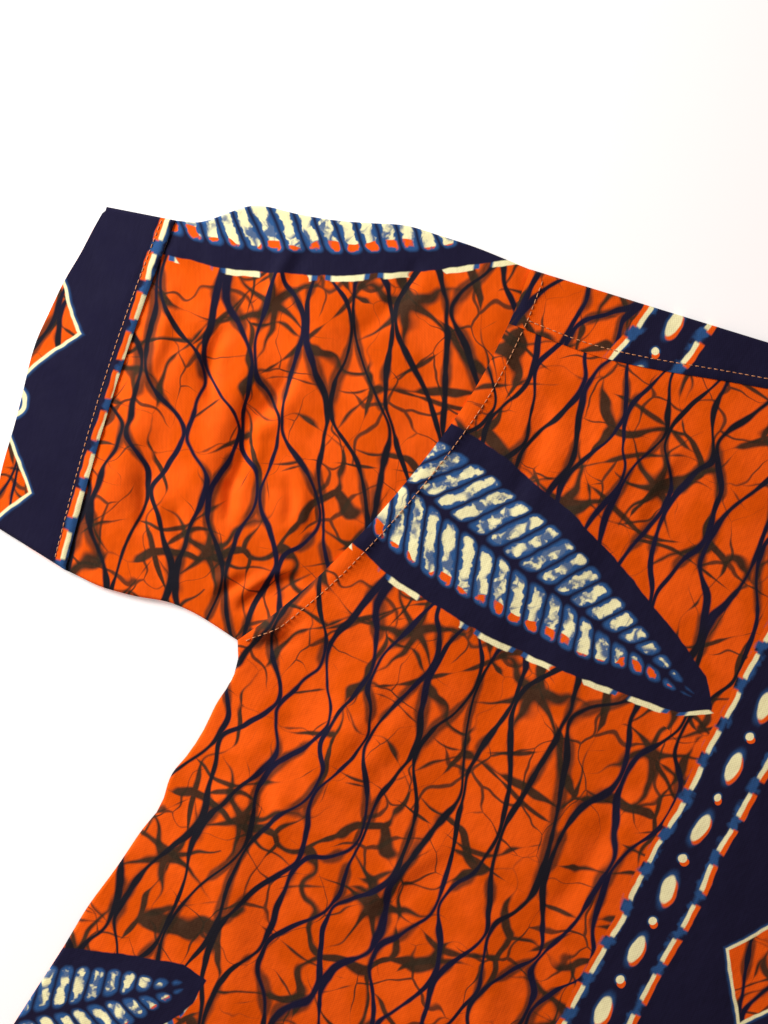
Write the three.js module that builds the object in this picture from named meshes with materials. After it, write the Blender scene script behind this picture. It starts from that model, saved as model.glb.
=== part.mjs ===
// A short-sleeved pullover shirt of printed cotton, laid flat on its back with the front up.
// Millimetres. +X is the wearer's left, +Y runs to the neck, +Z is up from the surface it lies on.
// Each piece of cloth is a wall: an outer skin, an inner skin and its cut edges. The front and half of
// each sleeve are the upper layer, the back lies under them, and a folded edge turns half round from
// one layer to the other. One height field shapes the whole upper layer, so folds cross the seams.

import * as THREE from 'three';

// Cloth and how its layers lie
const WALL = 1.1; // one thickness
const DOUBLE_WALL = 2; // folded double, in the bands and the binding
const SEAM_GAP = 0.3;
const ARMHOLE_GAP = 0.4; // a little more where the seam curves and the steps along it differ
const EDGE_DEPTH = 3.3; // both layers and the air between, at a folded edge
const LAP_RISE = WALL + SEAM_GAP; // a piece that laps another stands this much higher
const FULLNESS = 2.4; // air under the upper layer, away from the folded edges
const FULLNESS_REACH = 34;
const FOLD_REACH = 11; // folds die out this near to a folded edge
const LOWEST_TOP = 2.8;

// Outline of one half, from the centre front and the level of the shoulder points
const SHOULDER = { x: 225, y: 0 };
const SHOULDER_SLOPE = 0.1926;
const UNDERARM = { x: 268, y: -236.5 };
const HEM_Y = -720;
const HEM_LIFT = 9; // the hem is this much shorter at the side seams
const ARMHOLE = [
  { y: -236.5, x: 268 },
  { y: -215, x: 257.5 },
  { y: -181, x: 244.4 },
  { y: -130, x: 231 },
  { y: -72, x: 221.8 },
  { y: -30, x: 221.8 },
  { y: 0, x: 225 },
];
const SIDE_SEAM = [
  { y: -720, x: 294 },
  { y: -458, x: 276.5 },
  { y: -361, x: 267.3 },
  { y: -300, x: 262.6 },
  { y: -262, x: 260.8 },
  { y: -247, x: 262.4 },
  { y: -236.5, x: 268 },
];
const SLEEVE_TOP = [
  { x: 225, y: 0 },
  { x: 261, y: -4 },
  { x: 294, y: -12 },
  { x: 327, y: -25.4 },
  { x: 364, y: -37 },
  { x: 384, y: -57 },
  { x: 396, y: -62.7 },
];
const SLEEVE_UNDER = [
  { x: 268, y: -236.5 },
  { x: 296, y: -235 },
  { x: 328, y: -242 },
  { x: 362, y: -246 },
];
const CUFF = [
  { y: -243, x: 405.5 },
  { y: -217, x: 413.5 },
  { y: -192, x: 418.7 },
  { y: -159, x: 426.4 },
  { y: -124, x: 430.4 },
  { y: -97, x: 431 },
  { y: -73, x: 430 },
];
const BAND_SEAM_BOW = 3;

// Yoke, neck and slit
const YOKE_FRONT = [
  { x: 78, y: 6.8 },
  { x: 103, y: -1.1 },
  { x: 172.4, y: -22.9 },
  { x: 225, y: -30.5 },
];
const YOKE_TUCK = 10; // the front runs on this far under the yoke
const YOKE_BACK_Y = -95;
const NECK_HALF = 76;
const FRONT_NECK_DEPTH = 109; // from the shoulder lines, carried on to the centre
const BACK_NECK_DEPTH = 30;
const BINDING_WIDTH = 7;
const SLIT_HALF = 0.5;
const SLIT_END_Y = -134;

// Folds of the upper layer, each a soft ridge, or a trough where its height is below zero
const FOLDS = [
  // right sleeve
  { x0: -306, y0: -62, x1: -300, y1: -112, width: 11, height: 1.9 },
  { x0: -309, y0: -104, x1: -318, y1: -142, width: 9, height: -2.4 },
  { x0: -348, y0: -98, x1: -334, y1: -140, width: 9, height: -2.2 },
  { x0: -329, y0: -108, x1: -322, y1: -168, width: 10, height: 2.6 },
  { x0: -319, y0: -131, x1: -303, y1: -184, width: 8, height: -2.2 },
  { x0: -352, y0: -172, x1: -336, y1: -212, width: 9, height: -2 },
  { x0: -366, y0: -120, x1: -358, y1: -205, width: 10, height: 2.2 },
  { x0: -284, y0: -146, x1: -268, y1: -186, width: 11, height: 2.4 },
  { x0: -262, y0: -60, x1: -258, y1: -120, width: 14, height: 1.6 },
  // right underarm and chest
  { x0: -276, y0: -222, x1: -252, y1: -190, width: 7, height: -2.6 },
  { x0: -262, y0: -228, x1: -226, y1: -206, width: 9, height: 2.6 },
  { x0: -254, y0: -246, x1: -196, y1: -262, width: 11, height: -2.2 },
  { x0: -186, y0: -190, x1: -200, y1: -300, width: 15, height: 2.4 },
  { x0: -134, y0: -135, x1: -140, y1: -262, width: 16, height: -1.8 },
  { x0: -140, y0: -40, x1: -144, y1: -126, width: 15, height: 2.2 },
  { x0: -236, y0: -300, x1: -184, y1: -398, width: 15, height: 2.8 },
  // left sleeve
  { x0: 262, y0: -70, x1: 268, y1: -138, width: 12, height: 2.2 },
  { x0: 300, y0: -84, x1: 292, y1: -150, width: 10, height: -2.3 },
  { x0: 322, y0: -96, x1: 318, y1: -176, width: 11, height: 2.7 },
  { x0: 344, y0: -110, x1: 340, y1: -160, width: 9, height: -2 },
  { x0: 364, y0: -128, x1: 350, y1: -216, width: 10, height: 2.1 },
  { x0: 304, y0: -176, x1: 316, y1: -214, width: 9, height: -2.1 },
  // left underarm and chest
  { x0: 272, y0: -220, x1: 246, y1: -186, width: 8, height: -2.4 },
  { x0: 258, y0: -232, x1: 216, y1: -216, width: 10, height: 2.7 },
  { x0: 250, y0: -256, x1: 188, y1: -290, width: 12, height: -2 },
  { x0: 168, y0: -70, x1: 176, y1: -170, width: 16, height: 2.1 },
  // lower front
  { x0: -96, y0: -300, x1: -60, y1: -452, width: 20, height: 2.6 },
  { x0: 40, y0: -250, x1: 92, y1: -430, width: 22, height: -1.6 },
  { x0: 182, y0: -330, x1: 132, y1: -470, width: 19, height: 2.8 },
  { x0: -206, y0: -470, x1: -214, y1: -700, width: 20, height: 3 },
  { x0: -96, y0: -540, x1: -82, y1: -716, width: 22, height: 2.7 },
  { x0: 12, y0: -500, x1: 26, y1: -700, width: 21, height: -1.7 },
  { x0: 118, y0: -520, x1: 128, y1: -716, width: 20, height: 2.9 },
  { x0: 222, y0: -440, x1: 236, y1: -660, width: 18, height: 2.5 },
];

// Mesh steps
const EDGE_TURN = [0, 0.134, 0.5, 1]; // insets over a folded edge, in radii, 30 degrees apart
const SPLIT_TURN = [0.0042, 0.134, 0.5, 1]; // the same, stopping short of a side seam
const EDGE_BLEND = 0.12; // share of a seam over which its end turns square to the edge
const STEPS = {
  bodyAcross: 14, backAcross: 8, hemToUnderarm: 15, backLength: 10, underarmToSlit: 7, neckFront: 8, chest: 8,
  sleeveLength: 13, sleeveAcross: 16, bandLength: 2, yokeFront: 3, yokeBack: 6, yokeAcross: 10,
  neck: 6, slit: 5,
};

const range = (count) => Array.from({ length: count + 1 }, (_, step) => step / count);
const mix = (a, b, share) => a + (b - a) * share;
const mixPoints = (a, b, share) => ({ x: mix(a.x, b.x, share), y: mix(a.y, b.y, share) });
const unit = (x, y) => ({ x: x / Math.hypot(x, y), y: y / Math.hypot(x, y) });
const moved = (point, way, by) => ({ x: point.x + way.x * by, y: point.y + way.y * by });
const smooth = (share) => share * share * (3 - 2 * share);
const clampShare = (value) => Math.min(1, Math.max(0, value));

// Smooth curve through the rows of a table, read at one column and giving the other
function curveAt(table, input, output, at) {
  let row = 0;
  while (row < table.length - 2 && at > table[row + 1][input]) row += 1;
  const slope = (index) => {
    const before = table[Math.max(index - 1, 0)];
    const after = table[Math.min(index + 1, table.length - 1)];
    return (after[output] - before[output]) / (after[input] - before[input]);
  };
  const [from, to] = [table[row], table[row + 1]];
  const span = to[input] - from[input];
  const t = (at - from[input]) / span;
  const start = from[output] * (1 + 2 * t) * (1 - t) ** 2 + slope(row) * span * t * (1 - t) ** 2;
  const end = to[output] * t * t * (3 - 2 * t) - slope(row + 1) * span * t * t * (1 - t);
  return start + end;
}

const armholeX = (y) => curveAt(ARMHOLE, 'y', 'x', y);
const sideX = (y) => curveAt(SIDE_SEAM, 'y', 'x', y);
const sleeveTopY = (x) => curveAt(SLEEVE_TOP, 'x', 'y', x);
const sleeveUnderY = (x) => curveAt(SLEEVE_UNDER, 'x', 'y', x);
const cuffX = (y) => curveAt(CUFF, 'y', 'x', y);
const yokeFrontY = (x) => curveAt(YOKE_FRONT, 'x', 'y', x);
const shoulderY = (x) => SHOULDER_SLOPE * (SHOULDER.x - x);
const hemY = (x) => HEM_Y + HEM_LIFT * (x / SIDE_SEAM[0].x) ** 2;

const BAND_TOP = SLEEVE_TOP.at(-1);
const BAND_UNDER = SLEEVE_UNDER.at(-1);
const CUFF_TOP = CUFF.at(-1);
const CUFF_UNDER = CUFF[0];

// Distance to the nearest folded edge of the half outline
const foldedEdges = [
  [
    ...range(12).map((share) => mix(HEM_Y, UNDERARM.y, share)).map((y) => ({ x: sideX(y), y })),
    ...range(8).slice(1).map((share) => mix(UNDERARM.x, BAND_UNDER.x, share))
      .map((x) => ({ x, y: sleeveUnderY(x) })),
    CUFF_UNDER,
  ],
  [
    CUFF_TOP,
    ...range(12).map((share) => mix(BAND_TOP.x, SHOULDER.x, share)).map((x) => ({ x, y: sleeveTopY(x) })),
    { x: NECK_HALF, y: shoulderY(NECK_HALF) },
  ],
];

function distanceToSegment(x, y, from, to) {
  const [dx, dy] = [to.x - from.x, to.y - from.y];
  const along = clampShare(((x - from.x) * dx + (y - from.y) * dy) / (dx * dx + dy * dy));
  return { along, distance: Math.hypot(x - from.x - along * dx, y - from.y - along * dy) };
}

function edgeDistance(x, y) {
  let nearest = Infinity;
  for (const edge of foldedEdges) {
    for (let i = 1; i < edge.length; i += 1) {
      nearest = Math.min(nearest, distanceToSegment(Math.abs(x), y, edge[i - 1], edge[i]).distance);
    }
  }
  return nearest;
}

// Height of the upper layer's outer face
function topHeight(x, y) {
  const inset = edgeDistance(x, y);
  let height = FULLNESS * (1 - Math.exp(-((inset / FULLNESS_REACH) ** 2)));
  const held = 1 - Math.exp(-((inset / FOLD_REACH) ** 2));
  for (const fold of FOLDS) {
    const { along, distance } = distanceToSegment(
      x, y, { x: fold.x0, y: fold.y0 }, { x: fold.x1, y: fold.y1 });
    const swell = 0.4 + 0.6 * Math.sin(Math.PI * along);
    height += held * fold.height * swell * Math.exp(-((distance / fold.width) ** 2));
  }
  return Math.max(EDGE_DEPTH + height, LOWEST_TOP);
}

const UPPER = 1;
const LOWER = -1;

// One point of a wall. `place` is its plan position, with inset and inward where it is over a folded
// edge; the piece gives its wall, and its rise over the upper layer.
function wallPoint(place, layer, piece, mirror) {
  const [x, y] = [place.x * mirror, place.y];
  const radius = (EDGE_DEPTH + piece.rise) / 2;
  if (place.inset !== undefined && place.inset < radius) {
    const back = radius - place.inset;
    const turn = layer * Math.sqrt(radius * radius - back * back);
    const centre = new THREE.Vector3(x + place.inward.x * back * mirror, y + place.inward.y * back, radius);
    const outer = new THREE.Vector3(x, y, radius + turn);
    return { outer, inner: outer.clone().sub(centre).multiplyScalar(1 - piece.wall / radius).add(centre) };
  }
  const outerZ = layer === UPPER ? topHeight(x, y) + piece.rise : 0;
  return {
    outer: new THREE.Vector3(x, y, outerZ),
    inner: new THREE.Vector3(x, y, outerZ - layer * piece.wall),
  };
}

// Cells of a patch given as rows of places, turned so that the outer skin faces out
function patch(rows, layer, piece, mirror) {
  const points = rows.map((row) => row.map((place) => wallPoint(place, layer, piece, mirror)));
  const cells = [];
  let plan = 0;
  for (let i = 1; i < points.length; i += 1) {
    for (let j = 1; j < points[i].length; j += 1) {
      const cell = [points[i - 1][j - 1], points[i - 1][j], points[i][j], points[i][j - 1]];
      cell.forEach(({ outer }, corner) => {
        const next = cell[(corner + 1) % 4].outer;
        plan += outer.x * next.y - next.x * outer.y;
      });
      cells.push(cell);
    }
  }
  return plan * layer > 0 ? cells : cells.map((cell) => cell.reverse());
}

// Closed geometry of a wall: both skins of every cell, and a face across each cut edge
function wallGeometry(cells) {
  const indexOf = new Map();
  const positions = [];
  const index = [];
  const cornerOf = ({ outer, inner }) => {
    const key = outer.toArray().map((value) => Math.round(value * 1000)).join();
    if (!indexOf.has(key)) {
      indexOf.set(key, indexOf.size);
      positions.push(...outer.toArray(), ...inner.toArray());
    }
    return indexOf.get(key) * 2;
  };
  const cellCorners = cells.map((cell) => cell.map(cornerOf));
  const edges = new Set();
  for (const corners of cellCorners) {
    corners.forEach((corner, i) => edges.add(`${corner} ${corners[(i + 1) % 4]}`));
  }
  for (const [a, b, c, d] of cellCorners) {
    index.push(a, b, c, a, c, d, a + 1, c + 1, b + 1, a + 1, d + 1, c + 1);
    for (const [from, to] of [[a, b], [b, c], [c, d], [d, a]]) {
      if (!edges.has(`${to} ${from}`)) index.push(to, from, from + 1, to, from + 1, to + 1);
    }
  }
  const geometry = new THREE.BufferGeometry();
  geometry.setAttribute('position', new THREE.Float32BufferAttribute(positions, 3));
  geometry.setIndex(index);
  geometry.computeVertexNormals();
  return geometry;
}

const cotton = (color) => new THREE.MeshStandardMaterial({ color, roughness: 0.82, metalness: 0 });

function pieceMesh(name, cells, color) {
  const mesh = new THREE.Mesh(wallGeometry(cells), cotton(color));
  mesh.name = name;
  return mesh;
}

const SINGLE = { wall: WALL, rise: 0 };
const LAPPING = { wall: WALL, rise: LAP_RISE };
const DOUBLED = { wall: DOUBLE_WALL, rise: LAP_RISE };
const HALVES = [1, -1];

// --- front and back ---------------------------------------------------------

const armholeWay = unit(armholeX(UNDERARM.y + 4) - UNDERARM.x, 4);

// The side edge at height y, and the way in from it
function sideEdge(y) {
  const square = unit(-1, 0);
  const share = smooth(clampShare((UNDERARM.y - y) / 24));
  const way = mixPoints(armholeWay, square, share);
  return { x: sideX(y), y, inward: unit(way.x, way.y) };
}

function sidePlaces(y, turn) {
  const edge = sideEdge(y);
  const radius = EDGE_DEPTH / 2;
  return turn.map((share) => ({
    ...moved(edge, edge.inward, share * radius), inset: share * radius, inward: edge.inward,
  }));
}

// Rows of the body from the hem to the underarm, from the centre out and over the side edge
function lowerRows(across, steps, innerX) {
  return range(steps).map((share) => {
    const y = mix(HEM_Y, UNDERARM.y, share ** 0.85);
    const hemShare = clampShare((UNDERARM.y - y) / (UNDERARM.y - HEM_Y)) ** 4;
    const lift = (x) => hemShare * (hemY(x) - HEM_Y);
    const edge = sidePlaces(y, SPLIT_TURN).reverse();
    const inner = [0, ...range(across).map((step) => mix(innerX, edge[0].x, step))].slice(0, -1);
    return [
      ...inner.map((x) => ({ x, y: mix(y, edge[0].y, x / edge[0].x) + lift(x) })),
      ...edge.map((place) => ({ ...place, y: place.y + lift(place.x) })),
    ];
  });
}

// Rows from the underarm up to a height, out to the armhole
function armholeRows(toY, across, steps, innerX) {
  const corner = sidePlaces(UNDERARM.y, SPLIT_TURN).at(-1);
  return range(steps).map((share) => {
    const y = mix(UNDERARM.y, toY, share);
    const outY = mix(corner.y, toY, share);
    const outX = share === 0 ? corner.x : armholeX(outY);
    const xs = [0, ...range(across).map((step) => mix(innerX, outX, step))];
    return xs.map((x) => ({ x, y: mix(y, outY, x / outX) }));
  });
}

// The neck edge, `out` outside the finished edge, at a share of its quarter turn from the centre
function neckEdge(share, out, depth) {
  const angle = (1 - share) * (Math.PI / 2);
  const way = unit(Math.cos(angle) / NECK_HALF, Math.sin(angle) / depth);
  const x = NECK_HALF * Math.cos(angle) + way.x * out;
  return { x, y: shoulderY(x) - depth * Math.sin(angle) - way.y * out };
}

const PANEL_NECK = BINDING_WIDTH + SEAM_GAP;
const SLIT_PANEL_X = SLIT_HALF + PANEL_NECK;
const SLIT_PANEL_Y = SLIT_END_Y - PANEL_NECK;

// The share of the neck's quarter turn at which the offset edge lies at depth below the shoulder line
function neckShareAtDepth(drop, out, depth) {
  let [low, high] = [0, 1];
  for (let i = 0; i < 40; i += 1) {
    const middle = (low + high) / 2;
    const point = neckEdge(middle, out, depth);
    if (shoulderY(point.x) - point.y > drop) low = middle;
    else high = middle;
  }
  return low;
}

const TUCK_DROP = shoulderY(NECK_HALF) - yokeFrontY(NECK_HALF + PANEL_NECK) - YOKE_TUCK;
const FRONT_NECK_END = neckShareAtDepth(TUCK_DROP, PANEL_NECK, FRONT_NECK_DEPTH);

// Round the front neck from the slit to where the front goes under the yoke
const frontNeckRound = (out) => range(STEPS.neckFront).slice(1)
  .map((share) => neckEdge(share * FRONT_NECK_END, out, FRONT_NECK_DEPTH));

// The back neck from the shoulder fold to the centre, with the drop at each place
function backNeckRound(out, radius) {
  const turned = EDGE_TURN.slice(1).map((share) => neckShareAtDepth(share * radius, out, BACK_NECK_DEPTH));
  const stops = [1, ...turned, ...range(STEPS.neck).slice(2).map((share) => 1 - share)];
  return stops.map((stop, i) => {
    const { x, y } = neckEdge(stop, out, BACK_NECK_DEPTH);
    const drop = i < EDGE_TURN.length ? EDGE_TURN[i] * radius : shoulderY(x) - y;
    return { x: stop === 0 ? 0 : x, y: shoulderY(x) - drop, drop };
  });
}

// The chest above the slit's end, up to the neck edge and then to the tuck under the yoke
function chestRows() {
  const corner = { x: SLIT_PANEL_X, y: neckEdge(0, PANEL_NECK, FRONT_NECK_DEPTH).y };
  const tuck = { x: armholeX(yokeFrontY(SHOULDER.x) + YOKE_TUCK), y: yokeFrontY(SHOULDER.x) + YOKE_TUCK };
  const neck = [corner, ...frontNeckRound(PANEL_NECK)];
  const shoulder = range(STEPS.bodyAcross - STEPS.neckFront).slice(1)
    .map((share) => mixPoints(neck.at(-1), tuck, share));
  const top = [...neck, ...shoulder];
  const foot = range(STEPS.bodyAcross)
    .map((share) => ({ x: mix(SLIT_PANEL_X, armholeX(SLIT_PANEL_Y), share), y: SLIT_PANEL_Y }));
  return range(STEPS.chest).map((up) => {
    const outY = mix(SLIT_PANEL_Y, tuck.y, up);
    const bow = armholeX(outY) - mix(foot.at(-1).x, tuck.x, up);
    return top.map((point, i) => {
      const place = mixPoints(foot[i], point, up);
      return { x: place.x + bow * (i / STEPS.bodyAcross), y: place.y };
    });
  });
}

function frontPanel() {
  const { bodyAcross, hemToUnderarm, underarmToSlit } = STEPS;
  const cells = HALVES.flatMap((mirror) => [
    ...patch(lowerRows(bodyAcross, hemToUnderarm, SLIT_PANEL_X), UPPER, SINGLE, mirror),
    ...patch(armholeRows(SLIT_PANEL_Y, bodyAcross, underarmToSlit, SLIT_PANEL_X), UPPER, SINGLE, mirror),
    ...patch(chestRows(), UPPER, SINGLE, mirror),
  ]);
  return pieceMesh('front_panel', cells, '#d9480f');
}

function backPanel() {
  const top = YOKE_BACK_Y - SEAM_GAP;
  const cells = HALVES.flatMap((mirror) => [
    ...patch(lowerRows(STEPS.backAcross, STEPS.backLength, SLIT_PANEL_X), LOWER, SINGLE, mirror),
    ...patch(armholeRows(top, STEPS.backAcross, STEPS.underarmToSlit, SLIT_PANEL_X), LOWER, SINGLE, mirror),
  ]);
  return pieceMesh('back_panel', cells, '#b93d0c');
}

// --- yoke ------------------------------------------------------------------

const shoulderWay = unit(-SHOULDER_SLOPE, -1);

// Depths below the shoulder line: over the fold, then on to the piece's edge
function dropsTo(edge, radius, steps) {
  const turned = EDGE_TURN.map((share) => share * radius);
  return [...turned, ...range(steps).slice(1).map((share) => mix(radius, edge, share))];
}

function yokePlace(x, drop, radius) {
  const place = { x, y: shoulderY(x) - drop };
  return drop < radius ? { ...place, inset: drop, inward: shoulderWay } : place;
}

function yoke() {
  const radius = (EDGE_DEPTH + LAPPING.rise) / 2;
  const neckX = (drop) => neckEdge(
    neckShareAtDepth(drop, PANEL_NECK, FRONT_NECK_DEPTH), PANEL_NECK, FRONT_NECK_DEPTH).x;
  const columns = range(STEPS.yokeAcross);
  const neckPointX = NECK_HALF + PANEL_NECK;
  const front = columns.map((share) => {
    const x0 = mix(neckPointX, SHOULDER.x, share);
    return dropsTo(shoulderY(x0) - yokeFrontY(x0), radius, STEPS.yokeFront)
      .map((drop) => yokePlace(mix(neckX(drop), armholeX(-drop), share), drop, radius));
  });
  const back = columns.map((share) => {
    const x0 = mix(neckPointX, SHOULDER.x, share);
    return dropsTo(shoulderY(x0) - YOKE_BACK_Y, radius, STEPS.yokeBack)
      .map((drop) => yokePlace(mix(neckPointX, armholeX(-drop), share), drop, radius));
  });
  const neckDrops = dropsTo(shoulderY(neckPointX) - YOKE_BACK_Y, radius, STEPS.yokeBack);
  const neck = backNeckRound(PANEL_NECK, radius).map(({ x, drop: start }) => {
    const end = shoulderY(x) - YOKE_BACK_Y;
    return neckDrops.map((drop) => yokePlace(x, mix(start, end, drop / neckDrops.at(-1)), radius));
  });
  const cells = HALVES.flatMap((mirror) => [
    ...patch(front, UPPER, LAPPING, mirror),
    ...patch(back, LOWER, LAPPING, mirror),
    ...patch(neck, LOWER, LAPPING, mirror),
  ]);
  return pieceMesh('yoke', cells, '#e2530f');
}

// --- sleeves and their bands -------------------------------------------------

// Places across a flattened tube, from its top edge to its under edge
function acrossTube(top, under, topWay, underWay, pointAt, steps, radius) {
  const turned = EDGE_TURN.map((share) => share * radius);
  const width = Math.hypot(top.x - under.x, top.y - under.y);
  const first = radius / width;
  return [
    ...turned.map((inset) => ({ ...moved(top, topWay, inset), inset, inward: topWay })),
    ...range(steps).slice(1, -1).map((share) => pointAt(mix(first, 1 - first, share))),
    ...turned.map((inset) => ({ ...moved(under, underWay, inset), inset, inward: underWay })).reverse(),
  ];
}

// Plan of a tube between two seams and two folded edges, as a blend of its four sides
function tubeRows({ start, end, top, under, steps, across, radius }) {
  const wayAt = (edge, share, sign) => {
    const [from, to] = [edge(share - 0.01), edge(share + 0.01)];
    const square = unit(sign * (to.y - from.y), -sign * (to.x - from.x));
    const seamWay = sign > 0 ? [start(0.02), start(0)] : [start(0.98), start(1)];
    const along = unit(seamWay[0].x - seamWay[1].x, seamWay[0].y - seamWay[1].y);
    const way = mixPoints(along, square, smooth(clampShare(share / EDGE_BLEND)));
    return unit(way.x, way.y);
  };
  return range(steps).map((share) => {
    const pointAt = (down) => {
      const [t, u, s, e] = [top(share), under(share), start(down), end(down)];
      const blend = (axis) => mix(t[axis], u[axis], down) + mix(s[axis], e[axis], share)
        - mix(mix(start(0)[axis], end(0)[axis], share), mix(start(1)[axis], end(1)[axis], share), down);
      return { x: blend('x'), y: blend('y') };
    };
    return acrossTube(
      top(share), under(share), wayAt(top, share, 1), wayAt(under, share, -1), pointAt, across, radius);
  });
}

function tube(name, rows, piece, mirror, color) {
  return pieceMesh(
    name, [UPPER, LOWER].flatMap((layer) => patch(rows, layer, piece, mirror)), color);
}

const bandSeam = (down, shift) => ({
  x: mix(BAND_TOP.x, BAND_UNDER.x, down) + BAND_SEAM_BOW * Math.sin(Math.PI * down) + shift,
  y: mix(BAND_TOP.y, BAND_UNDER.y, down),
});

function sleeve(name, mirror) {
  const start = (down) => {
    const y = mix(SHOULDER.y, UNDERARM.y, down);
    const lean = armholeX(y + 1) - armholeX(y);
    return { x: armholeX(y) + ARMHOLE_GAP * Math.hypot(1, lean), y };
  };
  const end = (down) => bandSeam(down, -SEAM_GAP / 2);
  const edge = (curve, from, to) => (share) => {
    const x = mix(from, to, clampShare(share));
    return { x: x + SEAM_GAP * (1 - 1.5 * share), y: curve(x) };
  };
  const rows = tubeRows({
    start,
    end,
    top: edge(sleeveTopY, SHOULDER.x, BAND_TOP.x),
    under: edge(sleeveUnderY, UNDERARM.x, BAND_UNDER.x),
    steps: STEPS.sleeveLength,
    across: STEPS.sleeveAcross,
    radius: EDGE_DEPTH / 2,
  });
  return tube(name, rows, SINGLE, mirror, '#e0500f');
}

function sleeveBand(name, mirror) {
  const start = (down) => bandSeam(down, SEAM_GAP / 2);
  const end = (down) => {
    const y = mix(CUFF_TOP.y, CUFF_UNDER.y, down);
    return { x: cuffX(y), y };
  };
  const rows = tubeRows({
    start,
    end,
    top: (share) => mixPoints(start(0), CUFF_TOP, share),
    under: (share) => mixPoints(start(1), CUFF_UNDER, share),
    steps: STEPS.bandLength,
    across: STEPS.sleeveAcross,
    radius: (EDGE_DEPTH + DOUBLED.rise) / 2,
  });
  return tube(name, rows, DOUBLED, mirror, '#221f44');
}

// --- neck binding ------------------------------------------------------------

function neckBinding() {
  const radius = (EDGE_DEPTH + DOUBLED.rise) / 2;
  const edges = [0, BINDING_WIDTH];
  const slit = [
    edges.map((out) => ({ x: 0, y: SLIT_END_Y - out })),
    ...range(STEPS.slit).map((share) => edges.map((out) => ({
      x: SLIT_HALF + out, y: mix(SLIT_END_Y - out, neckEdge(0, out, FRONT_NECK_DEPTH).y, share),
    }))),
  ];
  const round = frontNeckRound(0).map((place, i) => [place, frontNeckRound(BINDING_WIDTH)[i]]);
  const overFold = [...EDGE_TURN].reverse().map((share) => edges.map((out) => {
    const drop = share * radius;
    const stop = drop === 0 ? 1 : neckShareAtDepth(drop, out, FRONT_NECK_DEPTH);
    return yokePlace(neckEdge(stop, out, FRONT_NECK_DEPTH).x, drop, radius);
  }));
  const [inner, outer] = edges.map((out) => backNeckRound(out, radius)
    .map(({ x, drop }) => yokePlace(x, drop, radius)));
  const back = inner.map((place, i) => [place, outer[i]]);
  const cells = HALVES.flatMap((mirror) => [
    ...patch([...slit, ...round, ...overFold], UPPER, DOUBLED, mirror),
    ...patch(back, LOWER, DOUBLED, mirror),
  ]);
  return pieceMesh('neck_binding', cells, '#1f1c3d');
}

// --- the shirt, centred on the surface it lies on ------------------------------

const shirt = new THREE.Group();
shirt.add(
  frontPanel(),
  backPanel(),
  yoke(),
  sleeve('right_sleeve', -1),
  sleeve('left_sleeve', 1),
  sleeveBand('right_sleeve_band', -1),
  sleeveBand('left_sleeve_band', 1),
  neckBinding(),
);
shirt.position.y = -(HEM_Y + shoulderY(NECK_HALF)) / 2;

export default shirt;
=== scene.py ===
"""A wax print shirt laid flat: fine cloth skins over the frame, their print, folds, stitches and the stage.

Plan sizes are millimetres in the shirt's own layout: x from the centre front to the wearer's left, y up
to the neck from the level of the shoulder points. `to_frame` turns them into metres in the frame.
"""

import math

import bmesh
import bpy
import numpy as np
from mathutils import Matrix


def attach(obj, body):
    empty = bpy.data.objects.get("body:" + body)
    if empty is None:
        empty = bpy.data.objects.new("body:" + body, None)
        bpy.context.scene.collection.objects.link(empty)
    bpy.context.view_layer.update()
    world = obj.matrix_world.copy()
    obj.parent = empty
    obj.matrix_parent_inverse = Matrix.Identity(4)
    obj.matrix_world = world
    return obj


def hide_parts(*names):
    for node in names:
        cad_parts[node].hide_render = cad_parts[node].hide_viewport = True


bl_info = {
    "name": "Wax Print Shirt",
    "version": (1, 0, 0),
    "blender": (4, 5, 0),
    "location": "3D View > Sidebar > Shirt",
    "description": "Cloth, print, stitching and stage of a short-sleeved wax print shirt laid flat",
    "category": "Add Mesh",
}

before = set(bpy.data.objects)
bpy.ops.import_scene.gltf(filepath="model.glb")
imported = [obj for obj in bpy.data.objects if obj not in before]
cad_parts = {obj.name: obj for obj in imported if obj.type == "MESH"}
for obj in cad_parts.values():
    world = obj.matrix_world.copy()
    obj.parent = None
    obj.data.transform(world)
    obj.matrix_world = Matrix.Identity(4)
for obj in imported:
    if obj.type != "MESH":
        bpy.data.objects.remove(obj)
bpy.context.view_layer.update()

MM = 0.001

# --- Layout, in the same sizes as the frame ---

# Heights: of the folded edges, of what laps over them, and of the upper layer between them
EDGE_DEPTH = 3.3
LAP_RISE = 1.4
FULLNESS = 2.4
FULLNESS_REACH = 34
FOLD_REACH = 11
LOWEST_TOP = 1.7
CLEARANCE = 0.3

# Plan of the wearer's left half, which the right half mirrors
SHOULDER = (225, 0)
SHOULDER_SLOPE = 0.1926
UNDERARM = (268, -236.5)
HEM_Y = -720
HEM_LIFT = 9
BAND_SEAM_BOW = 3
YOKE_BACK_Y = -95
NECK_HALF = 76
FRONT_NECK_DEPTH = 109
BACK_NECK_DEPTH = 30
BINDING_WIDTH = 7
NECK_ROUND = 12
SLIT_HALF = 0.5
SLIT_END_Y = -134
PANEL_NECK = 7.3
YOKE_TUCK = 10

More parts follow.
